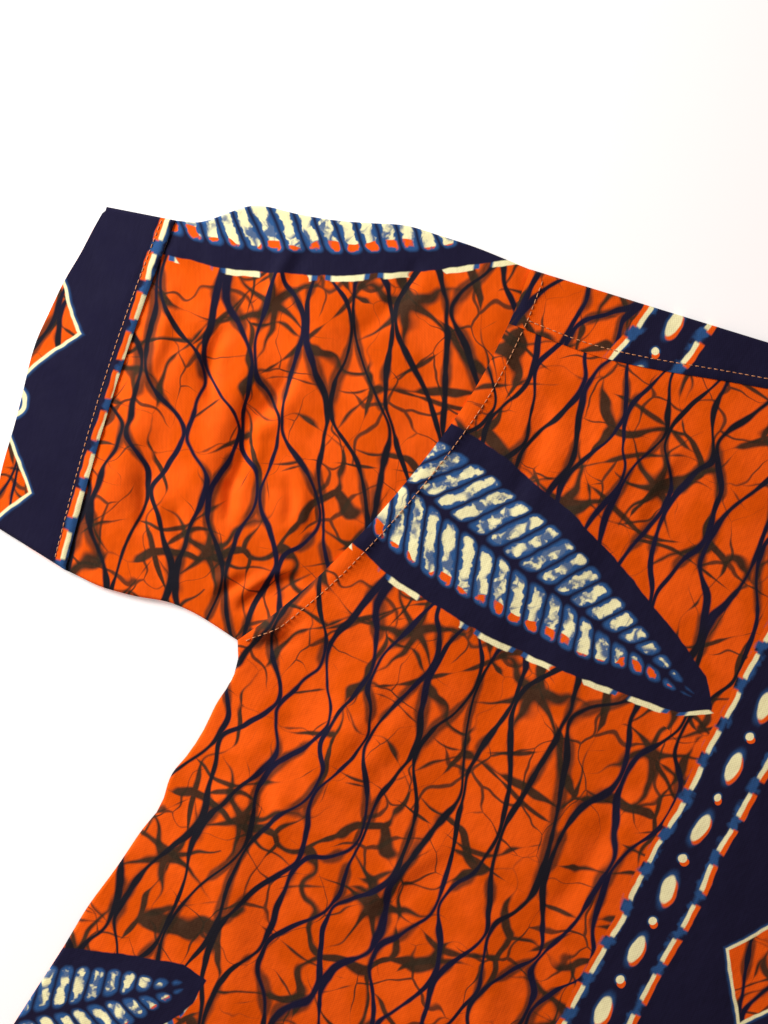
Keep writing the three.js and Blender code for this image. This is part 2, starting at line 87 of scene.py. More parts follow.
# Outlines, as pairs of y and x where they run along the shirt, and of x and y where they run across it
ARMHOLE = [
    (-236.5, 268), (-215, 257.5), (-181, 244.4), (-130, 231), (-72, 221.8), (-30, 221.8), (0, 225),
]
SIDE_SEAM = [
    (-720, 294), (-458, 276.5), (-361, 267.3), (-300, 262.6), (-262, 260.8), (-247, 262.4),
    (-236.5, 268),
]
SLEEVE_TOP = [
    (225, 0), (261, -4), (294, -12), (327, -25.4), (364, -37), (384, -57), (396, -62.7),
]
SLEEVE_UNDER = [
    (268, -236.5), (296, -235), (328, -242), (362, -246),
]
CUFF = [
    (-243, 405.5), (-217, 413.5), (-192, 418.7), (-159, 426.4), (-124, 430.4), (-97, 431), (-73, 430),
]
YOKE_FRONT = [
    (78, 6.8), (103, -1.1), (172.4, -22.9), (225, -30.5),
]

# The frame's folds: ridges, or troughs where the height is below zero
FOLDS = [
    # x0, y0, x1, y1, width, height
    # right sleeve
    (-306, -62, -300, -112, 11, 1.9),
    (-309, -104, -318, -142, 9, -2.4),
    (-348, -98, -334, -140, 9, -2.2),
    (-329, -108, -322, -168, 10, 2.6),
    (-319, -131, -303, -184, 8, -2.2),
    (-352, -172, -336, -212, 9, -2),
    (-366, -120, -358, -205, 10, 2.2),
    (-284, -146, -268, -186, 11, 2.4),
    (-262, -60, -258, -120, 14, 1.6),
    # right underarm and chest
    (-276, -222, -252, -190, 7, -2.6),
    (-262, -228, -226, -206, 9, 2.6),
    (-254, -246, -196, -262, 11, -2.2),
    (-186, -190, -200, -300, 15, 2.4),
    (-134, -135, -140, -262, 16, -1.8),
    (-140, -40, -144, -126, 15, 2.2),
    (-236, -300, -184, -398, 15, 2.8),
    # left sleeve
    (262, -70, 268, -138, 12, 2.2),
    (300, -84, 292, -150, 10, -2.3),
    (322, -96, 318, -176, 11, 2.7),
    (344, -110, 340, -160, 9, -2),
    (364, -128, 350, -216, 10, 2.1),
    (304, -176, 316, -214, 9, -2.1),
    # left underarm and chest
    (272, -220, 246, -186, 8, -2.4),
    (258, -232, 216, -216, 10, 2.7),
    (250, -256, 188, -290, 12, -2),
    (168, -70, 176, -170, 16, 2.1),
    # lower front
    (-96, -300, -60, -452, 20, 2.6),
    (40, -250, 92, -430, 22, -1.6),
    (182, -330, 132, -470, 19, 2.8),
    (-206, -470, -214, -700, 20, 3),
    (-96, -540, -82, -716, 22, 2.7),
    (12, -500, 26, -700, 21, -1.7),
    (118, -520, 128, -716, 20, 2.9),
    (222, -440, 236, -660, 18, 2.5),
]

# Finer creases that only the cloth's skin has; bend bows a crease sideways
CREASES = [
    # x0, y0, x1, y1, width, height, bend
    # right sleeve
    (-309, -100, -316.5, -142, 3.4, -2.2, 4),
    (-348, -98, -335, -138, 3.2, -2.0, -5),
    (-320, -128, -307, -172, 3, -2.2, 4),
    (-350, -186, -337, -211, 3.4, -2.0, 2),
    (-328, -192, -313, -208, 3, -1.7, 0),
    (-309, -166, -300, -186, 3, -1.9, 0),
    (-285, -150, -273, -174, 3.4, -1.9, 2),
    (-382, -92, -371, -150, 3.6, 1.5, 3),
    (-276, -22, -290, -78, 4.5, -1.5, 4),
    (-336, -42, -332, -84, 4, 1.5, -3),
    # right underarm
    (-275, -224, -254, -192, 2.6, -2.9, 3),
    (-266, -236, -238, -218, 3, -2.0, -2),
    (-288, -226, -276, -204, 3, -1.9, 2),
    (-253, -238, -242, -209, 3.2, -2.0, 2),
    (-258, -252, -226, -258, 3.2, 1.5, -3),
    # right chest
    (-190, -48, -180, -116, 5, -1.5, 6),
    (-112, -40, -118, -92, 4.5, 1.4, -4),
    (-186, -214, -196, -282, 4.5, -1.5, 5),
    (-232, -276, -212, -330, 4.5, -1.7, 4),
    (-120, -270, -150, -344, 5, 1.5, -6),
    (-60, -210, -66, -300, 5, -1.4, 5),
    # left sleeve
    (300, -84, 292, -150, 3.6, -2.0, -4),
    (344, -110, 338, -162, 3.4, -2.0, 4),
    (304, -178, 316, -214, 3.2, -1.7, -2),
    (266, -30, 284, -84, 4.4, -1.5, -4),
    (378, -96, 370, -170, 3.6, 1.5, -3),
    # left underarm and chest
    (271, -222, 248, -188, 2.8, -2.5, -3),
    (262, -238, 232, -226, 3.2, -1.9, 2),
    (252, -254, 210, -276, 3.6, -1.7, 3),
    (196, -44, 188, -128, 5, -1.5, -6),
    (96, -96, 112, -190, 5, 1.4, 4),
    # lower front
    (-90, -320, -64, -430, 5.5, -1.5, 7),
    (-238, -420, -228, -520, 5, -1.5, -5),
    (176, -340, 140, -452, 5.5, -1.5, -7),
    (-160, -560, -150, -700, 6, 1.5, 6),
    (66, -500, 80, -640, 6, 1.4, -6),
    (180, -540, 186, -700, 6, -1.5, 5),
]

# Small pushes of the cloth in the plan, which the outline shows
NUDGES = [
    # x, y, dx, dy, reach
    (-264, -270, -1.5, 0, 10),
    (-265, -312, -2.2, 0, 10),
    (-263, -331, 1.9, 0, 10),
    (-268, -392, -1.4, 0, 18),
    (-284, -560, 1.8, 0, 26),
    (-290, -650, -1.5, 0, 24),
    (-310, -237, 0, 1.3, 12),
    (-344, -243, 0, -1.2, 12),
    (-290, -12, 0, 1.2, 12),
    (-346, -32, 0, -1.1, 12),
    (-429, -100, 1.0, 0, 14),
    (-424, -150, -1.0, 0, 14),
    (264, -290, 1.8, 0, 12),
    (268, -362, -1.6, 0, 14),
    (282, -500, 1.7, 0, 24),
    (288, -620, -1.6, 0, 24),
    (306, -237, 0, -1.2, 12),
    (330, -27, 0, -1.3, 14),
    (425, -160, 1.0, 0, 14),
    (-190, -717, 0, -1.8, 26),
    (-70, -720, 0, 1.5, 30),
    (110, -719, 0, -1.7, 30),
]


def mix(a, b, share):
    """The value a share of the way from a to b."""
    return a + (b - a) * share


def smooth(share):
    """Smooth step of a share, held to 0 and 1."""
    share = np.clip(share, 0, 1)
    return share * share * (3 - 2 * share)


def ramp(off, run):
    """Smooth step of a distance, by where it begins and how far it takes."""
    return smooth((off - run[0]) / run[1])


def bell(off, reach):
    """A bell curve of a distance, 1 at its middle."""
    return np.exp(-((off / reach) ** 2))


def even(steps):
    """Even shares from 0 to 1."""
    return np.linspace(0, 1, steps + 1)


def unit(ways):
    """Ways of length 1."""
    return ways / np.linalg.norm(ways, axis=-1, keepdims=True)


def cos_sin(degrees):
    return math.cos(math.radians(degrees)), math.sin(math.radians(degrees))


def plan(x, y):
    """Plan points from their two coordinates."""
    x, y = np.broadcast_arrays(np.asarray(x, float), np.asarray(y, float))
    return np.stack([x, y], -1)


def curve_at(pairs, at):
    """Smooth curve through pairs of numbers, read at the first and giving the second."""
    known, value = np.array(pairs, float).T
    before = np.maximum(np.arange(len(known)) - 1, 0)
    after = np.minimum(np.arange(len(known)) + 1, len(known) - 1)
    slope = (value[after] - value[before]) / (known[after] - known[before])
    at = np.asarray(at, float)
    row = np.clip(np.searchsorted(known, at, side="right") - 1, 0, len(known) - 2)
    span = known[row + 1] - known[row]
    t = (at - known[row]) / span
    start = value[row] * (1 + 2 * t) * (1 - t) ** 2 + slope[row] * span * t * (1 - t) ** 2
    return start + value[row + 1] * t * t * (3 - 2 * t) - slope[row + 1] * span * t * t * (1 - t)


def armhole_x(y):
    """The armhole's seam, held to its two ends."""
    return curve_at(ARMHOLE, np.clip(y, UNDERARM[1], SHOULDER[1]))


def side_x(y):
    return curve_at(SIDE_SEAM, y)


def shoulder_y(x):
    return SHOULDER_SLOPE * (SHOULDER[0] - x)


def yoke_front_y(x):
    """The yoke's front edge on either half, held to its two ends."""
    return curve_at(YOKE_FRONT, np.clip(np.abs(x), YOKE_FRONT[0][0], YOKE_FRONT[-1][0]))


def hem_y(x):
    return HEM_Y + HEM_LIFT * (x / SIDE_SEAM[0][1]) ** 2


CENTRE_Y = (HEM_Y + shoulder_y(NECK_HALF)) / 2
BAND_TOP, BAND_UNDER = np.array(SLEEVE_TOP[-1], float), np.array(SLEEVE_UNDER[-1], float)
CUFF_TOP, CUFF_UNDER = np.array(CUFF[-1][::-1], float), np.array(CUFF[0][::-1], float)


def to_frame(points):
    """Millimetres in the layout to metres in the frame."""
    return (np.asarray(points, float) - [0, CENTRE_Y, 0]) * MM


# --- The upper layer's height ---

# Straight parts of each stretch of the outline, from which the distance to a folded edge is measured
OUTLINE_STEPS = 12
UNDERSIDE_STEPS = 8

# What a fold keeps of its height at its ends, the shallow lip beside a crease and how its ends fade
FOLD_END = 0.4
LIP_HEIGHT = 0.6
LIP_WIDTH = 1.3
LIP_OFF = 1.5
CREASE_FADE = 0.6

# Rows of stitches: their distance from the seam or the edge, and the groove that they press in
ARMHOLE_STITCH = 8
UNDERARM_STITCH = 3
YOKE_STITCH = 5
BAND_STITCH = 6.5
HEM_STITCH = 18
BINDING_STITCH = 1.8
GROOVE_DEPTH = 0.35
GROOVE_WIDTH = 1.1

# How far doubled cloth rises at the felled armhole and the hem, and what laps at its edge and in from it
FELL_RISE = 1.0
HEM_RISE = 0.7
YOKE_RISE = (0.5, 0.9)
BAND_RISE = (0.4, 1.0)
BINDING_RISE = (0.5, 0.9)

# What the front sinks by under the yoke, the yoke behind its lap, and a sleeve at its two seams, with reach
UNDER_YOKE = -0.35
YOKE_BEHIND_LAP = -0.35
SLEEVE_START = (-0.5, 4)
SLEEVE_END = (-0.7, 3.2)

# How much of the felled armhole shows through the yoke, and what of the front is too near the slit to sink
FELL_IN_YOKE = 0.7
FRONT_MIDDLE = 60

# Where heights begin to change, in from a seam, an edge or a row of stitches, and how far the change takes:
# up from the underarm for its stitches and its fell, across the fell, past the hem's stitches, at the yoke's
# front edge, in from it and below it, and at the band's seam
STITCHES_RUN = (0, 18)
FELL_RUN = (-6, 10)
FELL_START_RUN = (-0.6, 1.6)
FELL_END_RUN = (0, 3.5)
HEM_RUN = (0, 3)
YOKE_RUN = (0, 1.6)
BEHIND_LAP_RUN = (7, 5)
UNDER_YOKE_RUN = (-2, 6)
BAND_RUN = (-0.3, 1.7)

# Puckers beside the stitches: how far from the seam they are strongest, their reach and their size
PUCKERS = dict(
    fell=(6, 8, 0.16), hem=(14, 10, 0.15), yoke=(3, 6, 0.12),
    sleeve=(5, 7, 0.13), sleeve_end=(6, 8, 0.16), band=(4, 6, 0.12),
)

# The puckers' two ripples: their lengths, how the first drifts, and the second's size and phase
RIPPLES = (1.9, 1.17)
DRIFT = 0.4
DRIFT_LENGTH = 13
SECOND_RIPPLE = 0.7
SECOND_PHASE = 2


def folded_edges():
    """The half outline's folded edges, as two lines of plan points."""
    side = np.linspace(HEM_Y, UNDERARM[1], OUTLINE_STEPS + 1)
    under = np.linspace(UNDERARM[0], BAND_UNDER[0], UNDERSIDE_STEPS + 1)[1:]
    under = plan(under, curve_at(SLEEVE_UNDER, under))
    top = np.linspace(BAND_TOP[0], SHOULDER[0], OUTLINE_STEPS + 1)
    top = plan(top, curve_at(SLEEVE_TOP, top))
    return [
        np.vstack([plan(side_x(side), side), under, CUFF_UNDER]),
        np.vstack([CUFF_TOP, top, [NECK_HALF, shoulder_y(NECK_HALF)]]),
    ]


def to_line(x, y, start, end):
    """Share along a straight line, signed distance to its left, and distance to its nearest point."""
    way = np.subtract(end, start)
    length = np.hypot(*way)
    along = ((x - start[0]) * way[0] + (y - start[1]) * way[1]) / length**2
    held = np.clip(along, 0, 1)
    off = (way[0] * (y - start[1]) - way[1] * (x - start[0])) / length
    return held, off, np.hypot(x - start[0] - held * way[0], y - start[1] - held * way[1])


def edge_distance(x, y):
    """Distance to the nearest folded edge."""
    nearest = np.full(np.shape(x), np.inf)
    for edge in folded_edges():
        for start, end in zip(edge[:-1], edge[1:]):
            nearest = np.minimum(nearest, to_line(np.abs(x), y, start, end)[2])
    return nearest


def top_height(x, y):
    """Height of the upper layer's outer face, with its folds, creases and small unevenness."""
    inset = edge_distance(x, y)
    height = FULLNESS * (1 - bell(inset, FULLNESS_REACH))
    held = 1 - bell(inset, FOLD_REACH)
    for x0, y0, x1, y1, width, size in FOLDS:
        along, _, off = to_line(x, y, (x0, y0), (x1, y1))
        swell = mix(FOLD_END, 1, np.sin(np.pi * along))
        height = height + held * size * swell * bell(off, width)
    for x0, y0, x1, y1, width, size, bend in CREASES:
        along, side, off = to_line(x, y, (x0, y0), (x1, y1))
        past = np.sqrt(np.maximum(off**2 - side**2, 0))
        side = (side - bend * np.sin(np.pi * along)) / width
        shape = bell(side, 1) - LIP_HEIGHT * bell(side / LIP_WIDTH - LIP_OFF, 1)
        shape = shape * bell(past / width, 2) * np.sin(np.pi * along) ** CREASE_FADE
        height = height + held * size * shape
    height = EDGE_DEPTH + height + held * unevenness(x, y)
    return LOWEST_TOP + CLEARANCE * np.logaddexp(0, (height - LOWEST_TOP) / CLEARANCE)


def unevenness(x, y):
    """Slight rise and fall of pressed cotton, within about a third of a millimetre."""
    total = np.zeros(np.shape(x))
    for length, turn, phase, size in WAVES:
        along, across = x * math.cos(turn) + y * math.sin(turn), y * math.cos(turn) - x * math.sin(turn)
        bow = WAVE_BOW * np.sin(across / length + turn)
        total = total + size * np.sin(2 * np.pi * along / length + phase + bow)
    return total


# Waves of the cloth: their length, turn, phase and size
WAVE_DRAW = np.random.default_rng(11)
WAVE_BOW = 1.6
WAVES = [
    (length, WAVE_DRAW.uniform(0, math.pi), WAVE_DRAW.uniform(0, 2 * math.pi), size)
    for length, size in [(88, 0.13), (71, 0.12), (53, 0.1), (41, 0.09), (33, 0.07), (24, 0.05), (17, 0.035)]
]


def settle(points):
    """The layout's points with the small pushes that laying it down gave them."""
    points = points.copy()
    x, y = points[..., 0].copy(), points[..., 1].copy()
    for at_x, at_y, dx, dy, reach in NUDGES:
        near = np.exp(-((x - at_x) ** 2 + (y - at_y) ** 2) / reach**2)
        points[..., 0] += dx * near
        points[..., 1] += dy * near
    return points


def pucker(along, off, seam):
    """Small gathers beside a line of stitches, from two ripples of unlike length."""
    at, reach, size = PUCKERS[seam]
    ripple = np.sin(along / RIPPLES[0] + DRIFT * np.sin(along / DRIFT_LENGTH))
    ripple = ripple + SECOND_RIPPLE * np.sin(along / RIPPLES[1] + SECOND_PHASE)
    return size * ripple * bell(off - at, reach)


def groove(off, at):
    """The line that a row of stitches presses into the cloth."""
    return -GROOVE_DEPTH * bell(off - at, GROOVE_WIDTH)


def armhole_stitch(y):
    """Distance of the armhole's stitches from its seam, less where they run out at the underarm."""
    return mix(UNDERARM_STITCH, ARMHOLE_STITCH, ramp(y - UNDERARM[1], STITCHES_RUN))


def armhole_fell(x, y):
    """Rise of the felled armhole seam on the body's side of it."""
    off = armhole_x(y) - np.abs(x)
    stitch = armhole_stitch(y)
    rise = FELL_RISE * (1 - ramp(off - stitch, FELL_END_RUN)) * ramp(off, FELL_START_RUN)
    return ramp(y - UNDERARM[1], FELL_RUN) * (rise + groove(off, stitch) + pucker(y, off, "fell"))


def hem_turn(x, y):
    """The hem turned up inside: a little thicker below its stitches."""
    off = y - hem_y(x)
    rise = HEM_RISE * (1 - ramp(off - HEM_STITCH, HEM_RUN))
    return rise + groove(off, HEM_STITCH) + pucker(x, off, "hem")


def front_height(x, y):
    """Height of the front, with its seams."""
    under_yoke = UNDER_YOKE * ramp(y - yoke_front_y(x), UNDER_YOKE_RUN) * (np.abs(x) > FRONT_MIDDLE)
    return top_height(x, y) + armhole_fell(x, y) + hem_turn(x, y) + under_yoke


def yoke_height(x, y):
    """Height of the yoke's front strip over the front."""
    off = y - yoke_front_y(x)
    rise = YOKE_RISE[0] + YOKE_RISE[1] * ramp(off, YOKE_RUN) + YOKE_BEHIND_LAP * ramp(off, BEHIND_LAP_RUN)
    rise = rise + groove(off, YOKE_STITCH)
    return top_height(x, y) + rise + FELL_IN_YOKE * armhole_fell(x, y) + pucker(x, off, "yoke")


def band_seam_x(y):
    """The sleeve band's seam at a height."""
    down = (y - BAND_TOP[1]) / (BAND_UNDER[1] - BAND_TOP[1])
    return mix(BAND_TOP[0], BAND_UNDER[0], down) + BAND_SEAM_BOW * np.sin(np.pi * np.clip(down, 0, 1))


def sleeve_height(x, y):
    """Height of a sleeve, pulled in a little at both of its seams."""
    from_seam = np.abs(x) - armhole_x(y)
    to_band = band_seam_x(y) - np.abs(x)
    return (
        top_height(x, y)
        + SLEEVE_START[0] * bell(from_seam, SLEEVE_START[1])
        + SLEEVE_END[0] * bell(to_band, SLEEVE_END[1])
        + pucker(y, from_seam, "sleeve")
        + pucker(y * 1.03, to_band, "sleeve_end")
    )


def band_height(x, y):
    """Height of a sleeve band, cloth folded double, with a firm ridge at its seam."""
    off = np.abs(x) - band_seam_x(y)
    rise = BAND_RISE[0] + BAND_RISE[1] * ramp(off, BAND_RUN) + groove(off, BAND_STITCH)
    return top_height(x, y) + rise + pucker(y, off, "band")


# --- Plan of the pieces ---

UPPER = 1
LOWER = -1

# A folded edge's radius, also where a piece laps it, and the insets of the columns that go round it
EDGE_STEPS = 7
RADIUS = EDGE_DEPTH / 2
LAP_RADIUS = (EDGE_DEPTH + LAP_RISE) / 2
TURNS = 1 - np.cos(np.linspace(0, np.pi / 2, EDGE_STEPS))

# The inset of places that lie away from any folded edge, and the columns between centre front and slit
FLAT = 1e3
SLIT_STEPS = 3

# Where the rows behind the neck go on from its folded edge, as a share of the neck's quarter turn
BACK_NECK_START = 0.82

# How far a sleeve is tucked under the armhole's seam, and the stretch below the underarm over which the way
# in from the side edge turns from the armhole's to straight across
SLEEVE_TUCK = 0.4
UNDERARM_BLEND = 24

# The slit's end in the panel, and the ways in from the shoulder fold and along the armhole's first stretch
SLIT_X, SLIT_Y = SLIT_HALF + PANEL_NECK, SLIT_END_Y - PANEL_NECK
SHOULDER_WAY = unit(np.array([-SHOULDER_SLOPE, -1.0]))
FIRST_RISE = 4.0
ARMHOLE_WAY = unit(np.array([armhole_x(UNDERARM[1] + FIRST_RISE) - UNDERARM[0], FIRST_RISE]))


def places(points, inset=None, inward=None):
    """A grid of plan points, each with its inset over a folded edge and the way in from that edge."""
    shape = points.shape[:-1]
    inset = np.full(shape, FLAT) if inset is None else np.broadcast_to(inset, shape)
    inward = np.zeros(points.shape) if inward is None else np.broadcast_to(inward, points.shape)
    return dict(points=points, inset=inset, inward=inward)


def beside(*grids):
    """Grids joined side by side, each without the column it shares with the one before."""
    return {key: np.concatenate([grids[0][key]] + [grid[key][:, 1:] for grid in grids[1:]], 1)
            for key in ("points", "inset", "inward")}


def body_edge(y):
    """The side edge at heights y, as points over its fold, with insets and ways in."""
    share = smooth((UNDERARM[1] - y) / UNDERARM_BLEND)[:, None]
    inward = unit(mix(ARMHOLE_WAY, np.array([-1.0, 0.0]), share))[:, None, :]
    inset = TURNS[::-1][None, :] * RADIUS
    points = plan(side_x(y), y)[:, None, :] + inward * inset[..., None]
    return points, inset, inward


def lower_body(across, steps):
    """Half of the body from the hem to the underarm."""
    y = np.linspace(HEM_Y, UNDERARM[1], steps + 1)
    points, inset, inward = body_edge(y)
    corner = points[:, :1]
    start = plan(SLIT_X, y)[:, None, :]
    inner = mix(start, corner, even(across)[None, :, None])
    middle = mix(plan(0, y)[:, None, :], start, even(SLIT_STEPS)[None, :, None])
    grid = beside(places(middle), places(inner), places(points, inset, inward))
    hem_share = np.clip((UNDERARM[1] - y) / (UNDERARM[1] - HEM_Y), 0, 1)[:, None] ** 4
    grid["points"][..., 1] += hem_share * (hem_y(grid["points"][..., 0]) - HEM_Y)
    return grid


def upper_body(to_y, across, steps):
    """Half of the body from the underarm up to a height, out to the armhole."""
    corner = body_edge(np.array([UNDERARM[1]]))[0][0, 0]
    out_y = np.linspace(corner[1], to_y, steps + 1)
    out_x = armhole_x(out_y)
    out_x[0] = corner[0]
    y = np.linspace(UNDERARM[1], to_y, steps + 1)
    x = np.concatenate([
        np.tile(np.linspace(0, SLIT_X, SLIT_STEPS + 1)[:-1], (len(y), 1)),
        mix(SLIT_X, out_x[:, None], even(across)[None, :]),
    ], 1)
    return places(plan(x, mix(y[:, None], out_y[:, None], x / out_x[:, None])))


def neck_edge(share, out, depth):
    """The neck's edge a distance outside its finished edge, by the share of its quarter turn."""
    angle = (1 - share) * np.pi / 2
    way = unit(plan(np.cos(angle) / NECK_HALF, np.sin(angle) / depth))
    x = NECK_HALF * np.cos(angle) + way[..., 0] * out
    rounded = x + NECK_ROUND * np.exp(-x / NECK_ROUND)
    return plan(x, shoulder_y(rounded) - depth * np.sin(angle) - way[..., 1] * out)


HALVINGS = 40


def neck_share(drop, out, depth):
    """Share of the neck's quarter turn at which its edge is a drop below the shoulder line."""
    drop = np.asarray(drop, float)
    low, high = np.zeros(drop.shape), np.ones(drop.shape)
    for _ in range(HALVINGS):
        middle = (low + high) / 2
        point = neck_edge(middle, out, depth)
        deep = shoulder_y(point[..., 0]) - point[..., 1] > drop
        low, high = np.where(deep, middle, low), np.where(deep, high, middle)
    return np.where(drop <= 0, 1.0, low)


TUCK_DROP = shoulder_y(NECK_HALF) - yoke_front_y(NECK_HALF + PANEL_NECK) - YOKE_TUCK
FRONT_NECK_END = float(neck_share(TUCK_DROP, PANEL_NECK, FRONT_NECK_DEPTH))


def chest(across, steps, neck_steps):
    """Half of the chest above the slit's end, up to the neck and the tuck under the yoke."""
    corner = np.array([SLIT_X, neck_edge(0, PANEL_NECK, FRONT_NECK_DEPTH)[1]])
    shares = even(neck_steps)[1:] * FRONT_NECK_END
    neck = np.vstack([corner, neck_edge(shares, PANEL_NECK, FRONT_NECK_DEPTH)])
    tuck_y = yoke_front_y(SHOULDER[0]) + YOKE_TUCK
    tuck = np.array([armhole_x(tuck_y), tuck_y])
    shoulder = mix(neck[-1], tuck, even(across - neck_steps)[1:, None])
    top = np.vstack([neck, shoulder])
    column = even(across)
    foot = plan(mix(SLIT_X, armhole_x(SLIT_Y), column), SLIT_Y)
    up = even(steps)[:, None]
    points = mix(foot[None], top[None], up[..., None])
    bow = armhole_x(mix(SLIT_Y, tuck_y, up)) - mix(foot[-1, 0], tuck[0], up)
    points[..., 0] += bow * column[None]
    return places(points)


def drops_to(edge, radius, steps):
    """Depths below the shoulder line, over its fold and on to a piece's edge, one row for each edge."""
    turned = np.tile(TURNS * radius, (len(edge), 1))
    return np.concatenate([turned, mix(radius, edge[:, None], even(steps)[None, 1:])], 1)


def shoulder_places(x, drop):
    """Places at depths below the shoulder line."""
    return places(plan(x, shoulder_y(x) - drop), drop, SHOULDER_WAY)


def yoke_grids(across, front_steps, back_steps, neck_steps):
    """Half of the yoke: its front strip, its back and the part behind the neck."""
    share = even(across)[:, None]
    neck_x = NECK_HALF + PANEL_NECK
    x0 = mix(neck_x, SHOULDER[0], share[:, 0])
    front_drop = drops_to(shoulder_y(x0) - yoke_front_y(x0), LAP_RADIUS, front_steps)
    edge_share = neck_share(front_drop, PANEL_NECK, FRONT_NECK_DEPTH)
    front_neck = neck_edge(edge_share, PANEL_NECK, FRONT_NECK_DEPTH)[..., 0]
    back_drop = drops_to(shoulder_y(x0) - YOKE_BACK_Y, LAP_RADIUS, back_steps)
    turn = np.concatenate([neck_share(TURNS * LAP_RADIUS, PANEL_NECK, BACK_NECK_DEPTH),
                           np.linspace(BACK_NECK_START, 0, neck_steps + 1)])
    edge = neck_edge(turn, PANEL_NECK, BACK_NECK_DEPTH)
    edge[-1, 0] = 0
    start = (shoulder_y(edge[:, 0]) - edge[:, 1])[:, None]
    start[:EDGE_STEPS, 0] = TURNS * LAP_RADIUS
    full = back_drop[:1]
    neck_drop = mix(start, (shoulder_y(edge[:, 0]) - YOKE_BACK_Y)[:, None], full / full[0, -1])
    return [
        (shoulder_places(mix(front_neck, armhole_x(-front_drop), share), front_drop), UPPER),
        (shoulder_places(mix(neck_x, armhole_x(-back_drop), share), back_drop), LOWER),
        (shoulder_places(np.broadcast_to(edge[:, :1], neck_drop.shape), neck_drop), LOWER),
    ]


# Share of a tube's length over which its edge columns turn from lying along a seam to square
EDGE_BLEND = 0.12

# Shares between which the ways along a tube's edge and down its seam are taken
ALONG_STEP = 0.01
DOWN_STEP = 0.02


def tube_grid(start, end, top, under, steps, across, radius):
    """Plan of a flattened tube between two seams and two folded edges."""
    share = even(steps)

    def way_in(edge, sign):
        along = edge(share + ALONG_STEP) - edge(share - ALONG_STEP)
        square = unit(sign * plan(along[:, 1], -along[:, 0]))
        seam = start(DOWN_STEP) - start(0.0) if sign > 0 else start(1 - DOWN_STEP) - start(1.0)
        return unit(mix(unit(seam), square, smooth(share / EDGE_BLEND)[:, None]))

    t, u = top(share), under(share)
    width = np.linalg.norm(t - u, axis=-1)[:, None]
    first = radius / width
    down = mix(first, 1 - first, even(across)[None, :])
    along = share[:, None]
    chords = [mix(start(at), end(at), along)[:, None] for at in (0.0, 1.0)]
    corners = mix(*chords, down[..., None])
    inner = mix(t[:, None], u[:, None], down[..., None]) + mix(start(down), end(down), along[..., None])
    inner = inner - corners
    inset = TURNS[None, :] * radius
    t_way, u_way = way_in(top, 1)[:, None], way_in(under, -1)[:, None]
    t_points = t[:, None] + t_way * inset[..., None]
    u_points = u[:, None] + u_way * inset[..., None]
    inner[:, 0], inner[:, -1] = t_points[:, -1], u_points[:, -1]
    return beside(
        places(t_points, inset, t_way),
        places(inner),
        places(u_points[:, ::-1], inset[:, ::-1], u_way),
    )


# --- Cloth meshes ---

# How close points are that get welded, in metres, and the angle up to which faces are smooth, in degrees
WELD = 2e-6
SMOOTH_ANGLE = 50


def skin(grid, layer, radius, height, mirror):
    """Outer skin of a grid of places, in millimetres."""
    x, y = grid["points"][..., 0] * mirror, grid["points"][..., 1]
    over = grid["inset"] < radius
    back = np.where(over, radius - grid["inset"], 0)
    turned = radius + layer * np.sqrt(np.maximum(radius**2 - back**2, 0))
    flat = np.zeros(x.shape)
    if layer == UPPER:
        flat = height(x, y)
        turned = mix(turned, turned + flat - 2 * radius, smooth(grid["inset"] / radius))
    return settle(np.stack([x, y, np.where(over, turned, flat)], -1))


def cloth_mesh(name, patches, thickness):
    """A shell of cloth from patches of (points, print places, layer), welded along their shared edges."""
    verts, faces, prints, first = [], [], [], 0
    for points, spots, layer in patches:
        rows, columns = points.shape[:2]
        index = first + np.arange(rows * columns).reshape(rows, columns)
        quads = np.stack([index[:-1, :-1], index[:-1, 1:], index[1:, 1:], index[1:, :-1]], -1).reshape(-1, 4)
        flat = points.reshape(-1, 3)[quads - first]
        step = np.roll(flat, -1, 1)
        area = (flat[..., 0] * step[..., 1] - step[..., 0] * flat[..., 1]).sum()
        if area * layer < 0:
            quads = quads[:, ::-1]
        verts.append(to_frame(points.reshape(-1, 3)))
        faces.append(quads)
        prints.append(spots.reshape(-1, 2)[quads - first])
        first += rows * columns
    mesh = bpy.data.meshes.new(name)
    mesh.from_pydata(np.concatenate(verts).tolist(), [], np.concatenate(faces).tolist())
    bolt = mesh.uv_layers.new(name="bolt")
    bolt.data.foreach_set("uv", (np.concatenate(prints) * MM).reshape(-1))
    rework(mesh, lambda shell: bmesh.ops.remove_doubles(shell, verts=shell.verts, dist=WELD))
    piece = add_object(name, mesh)
    wall = piece.modifiers.new("cloth", "SOLIDIFY")
    wall.thickness = thickness
    wall.offset = -1
    bpy.ops.object.modifier_apply(modifier=wall.name)
    bpy.ops.object.shade_smooth_by_angle(angle=math.radians(SMOOTH_ANGLE))
    return piece


def rework(mesh, work):
    """Runs work on a mesh's editable form."""
    shell = bmesh.new()
    shell.from_mesh(mesh)
    work(shell)
    shell.to_mesh(mesh)
    shell.free()


def add_object(name, data):
    """Adds an object to the scene, as the only one selected and the active one."""
    made = bpy.data.objects.new(name, data)
    bpy.context.scene.collection.objects.link(made)
    bpy.ops.object.select_all(action="DESELECT")
    made.select_set(True)
    bpy.context.view_layer.objects.active = made
    return made


def on_bolt(points, turn, centre, spot):
    """Where plan points were cut from on the bolt: turned about a plan point that lay at a spot of it."""
    cos, sin = cos_sin(turn)
    x, y = points[..., 0] - centre[0], points[..., 1] - centre[1]
    return plan(x * cos + y * sin, y * cos - x * sin) + spot


def body_patches(grids, layer, height, cut):
    """Both halves of a body panel."""
    made = []
    for mirror in (1, -1):
        for grid in grids:
            points = skin(grid, layer, RADIUS, height, mirror)
            made.append((points, on_bolt(points, *cut), layer))
    return made


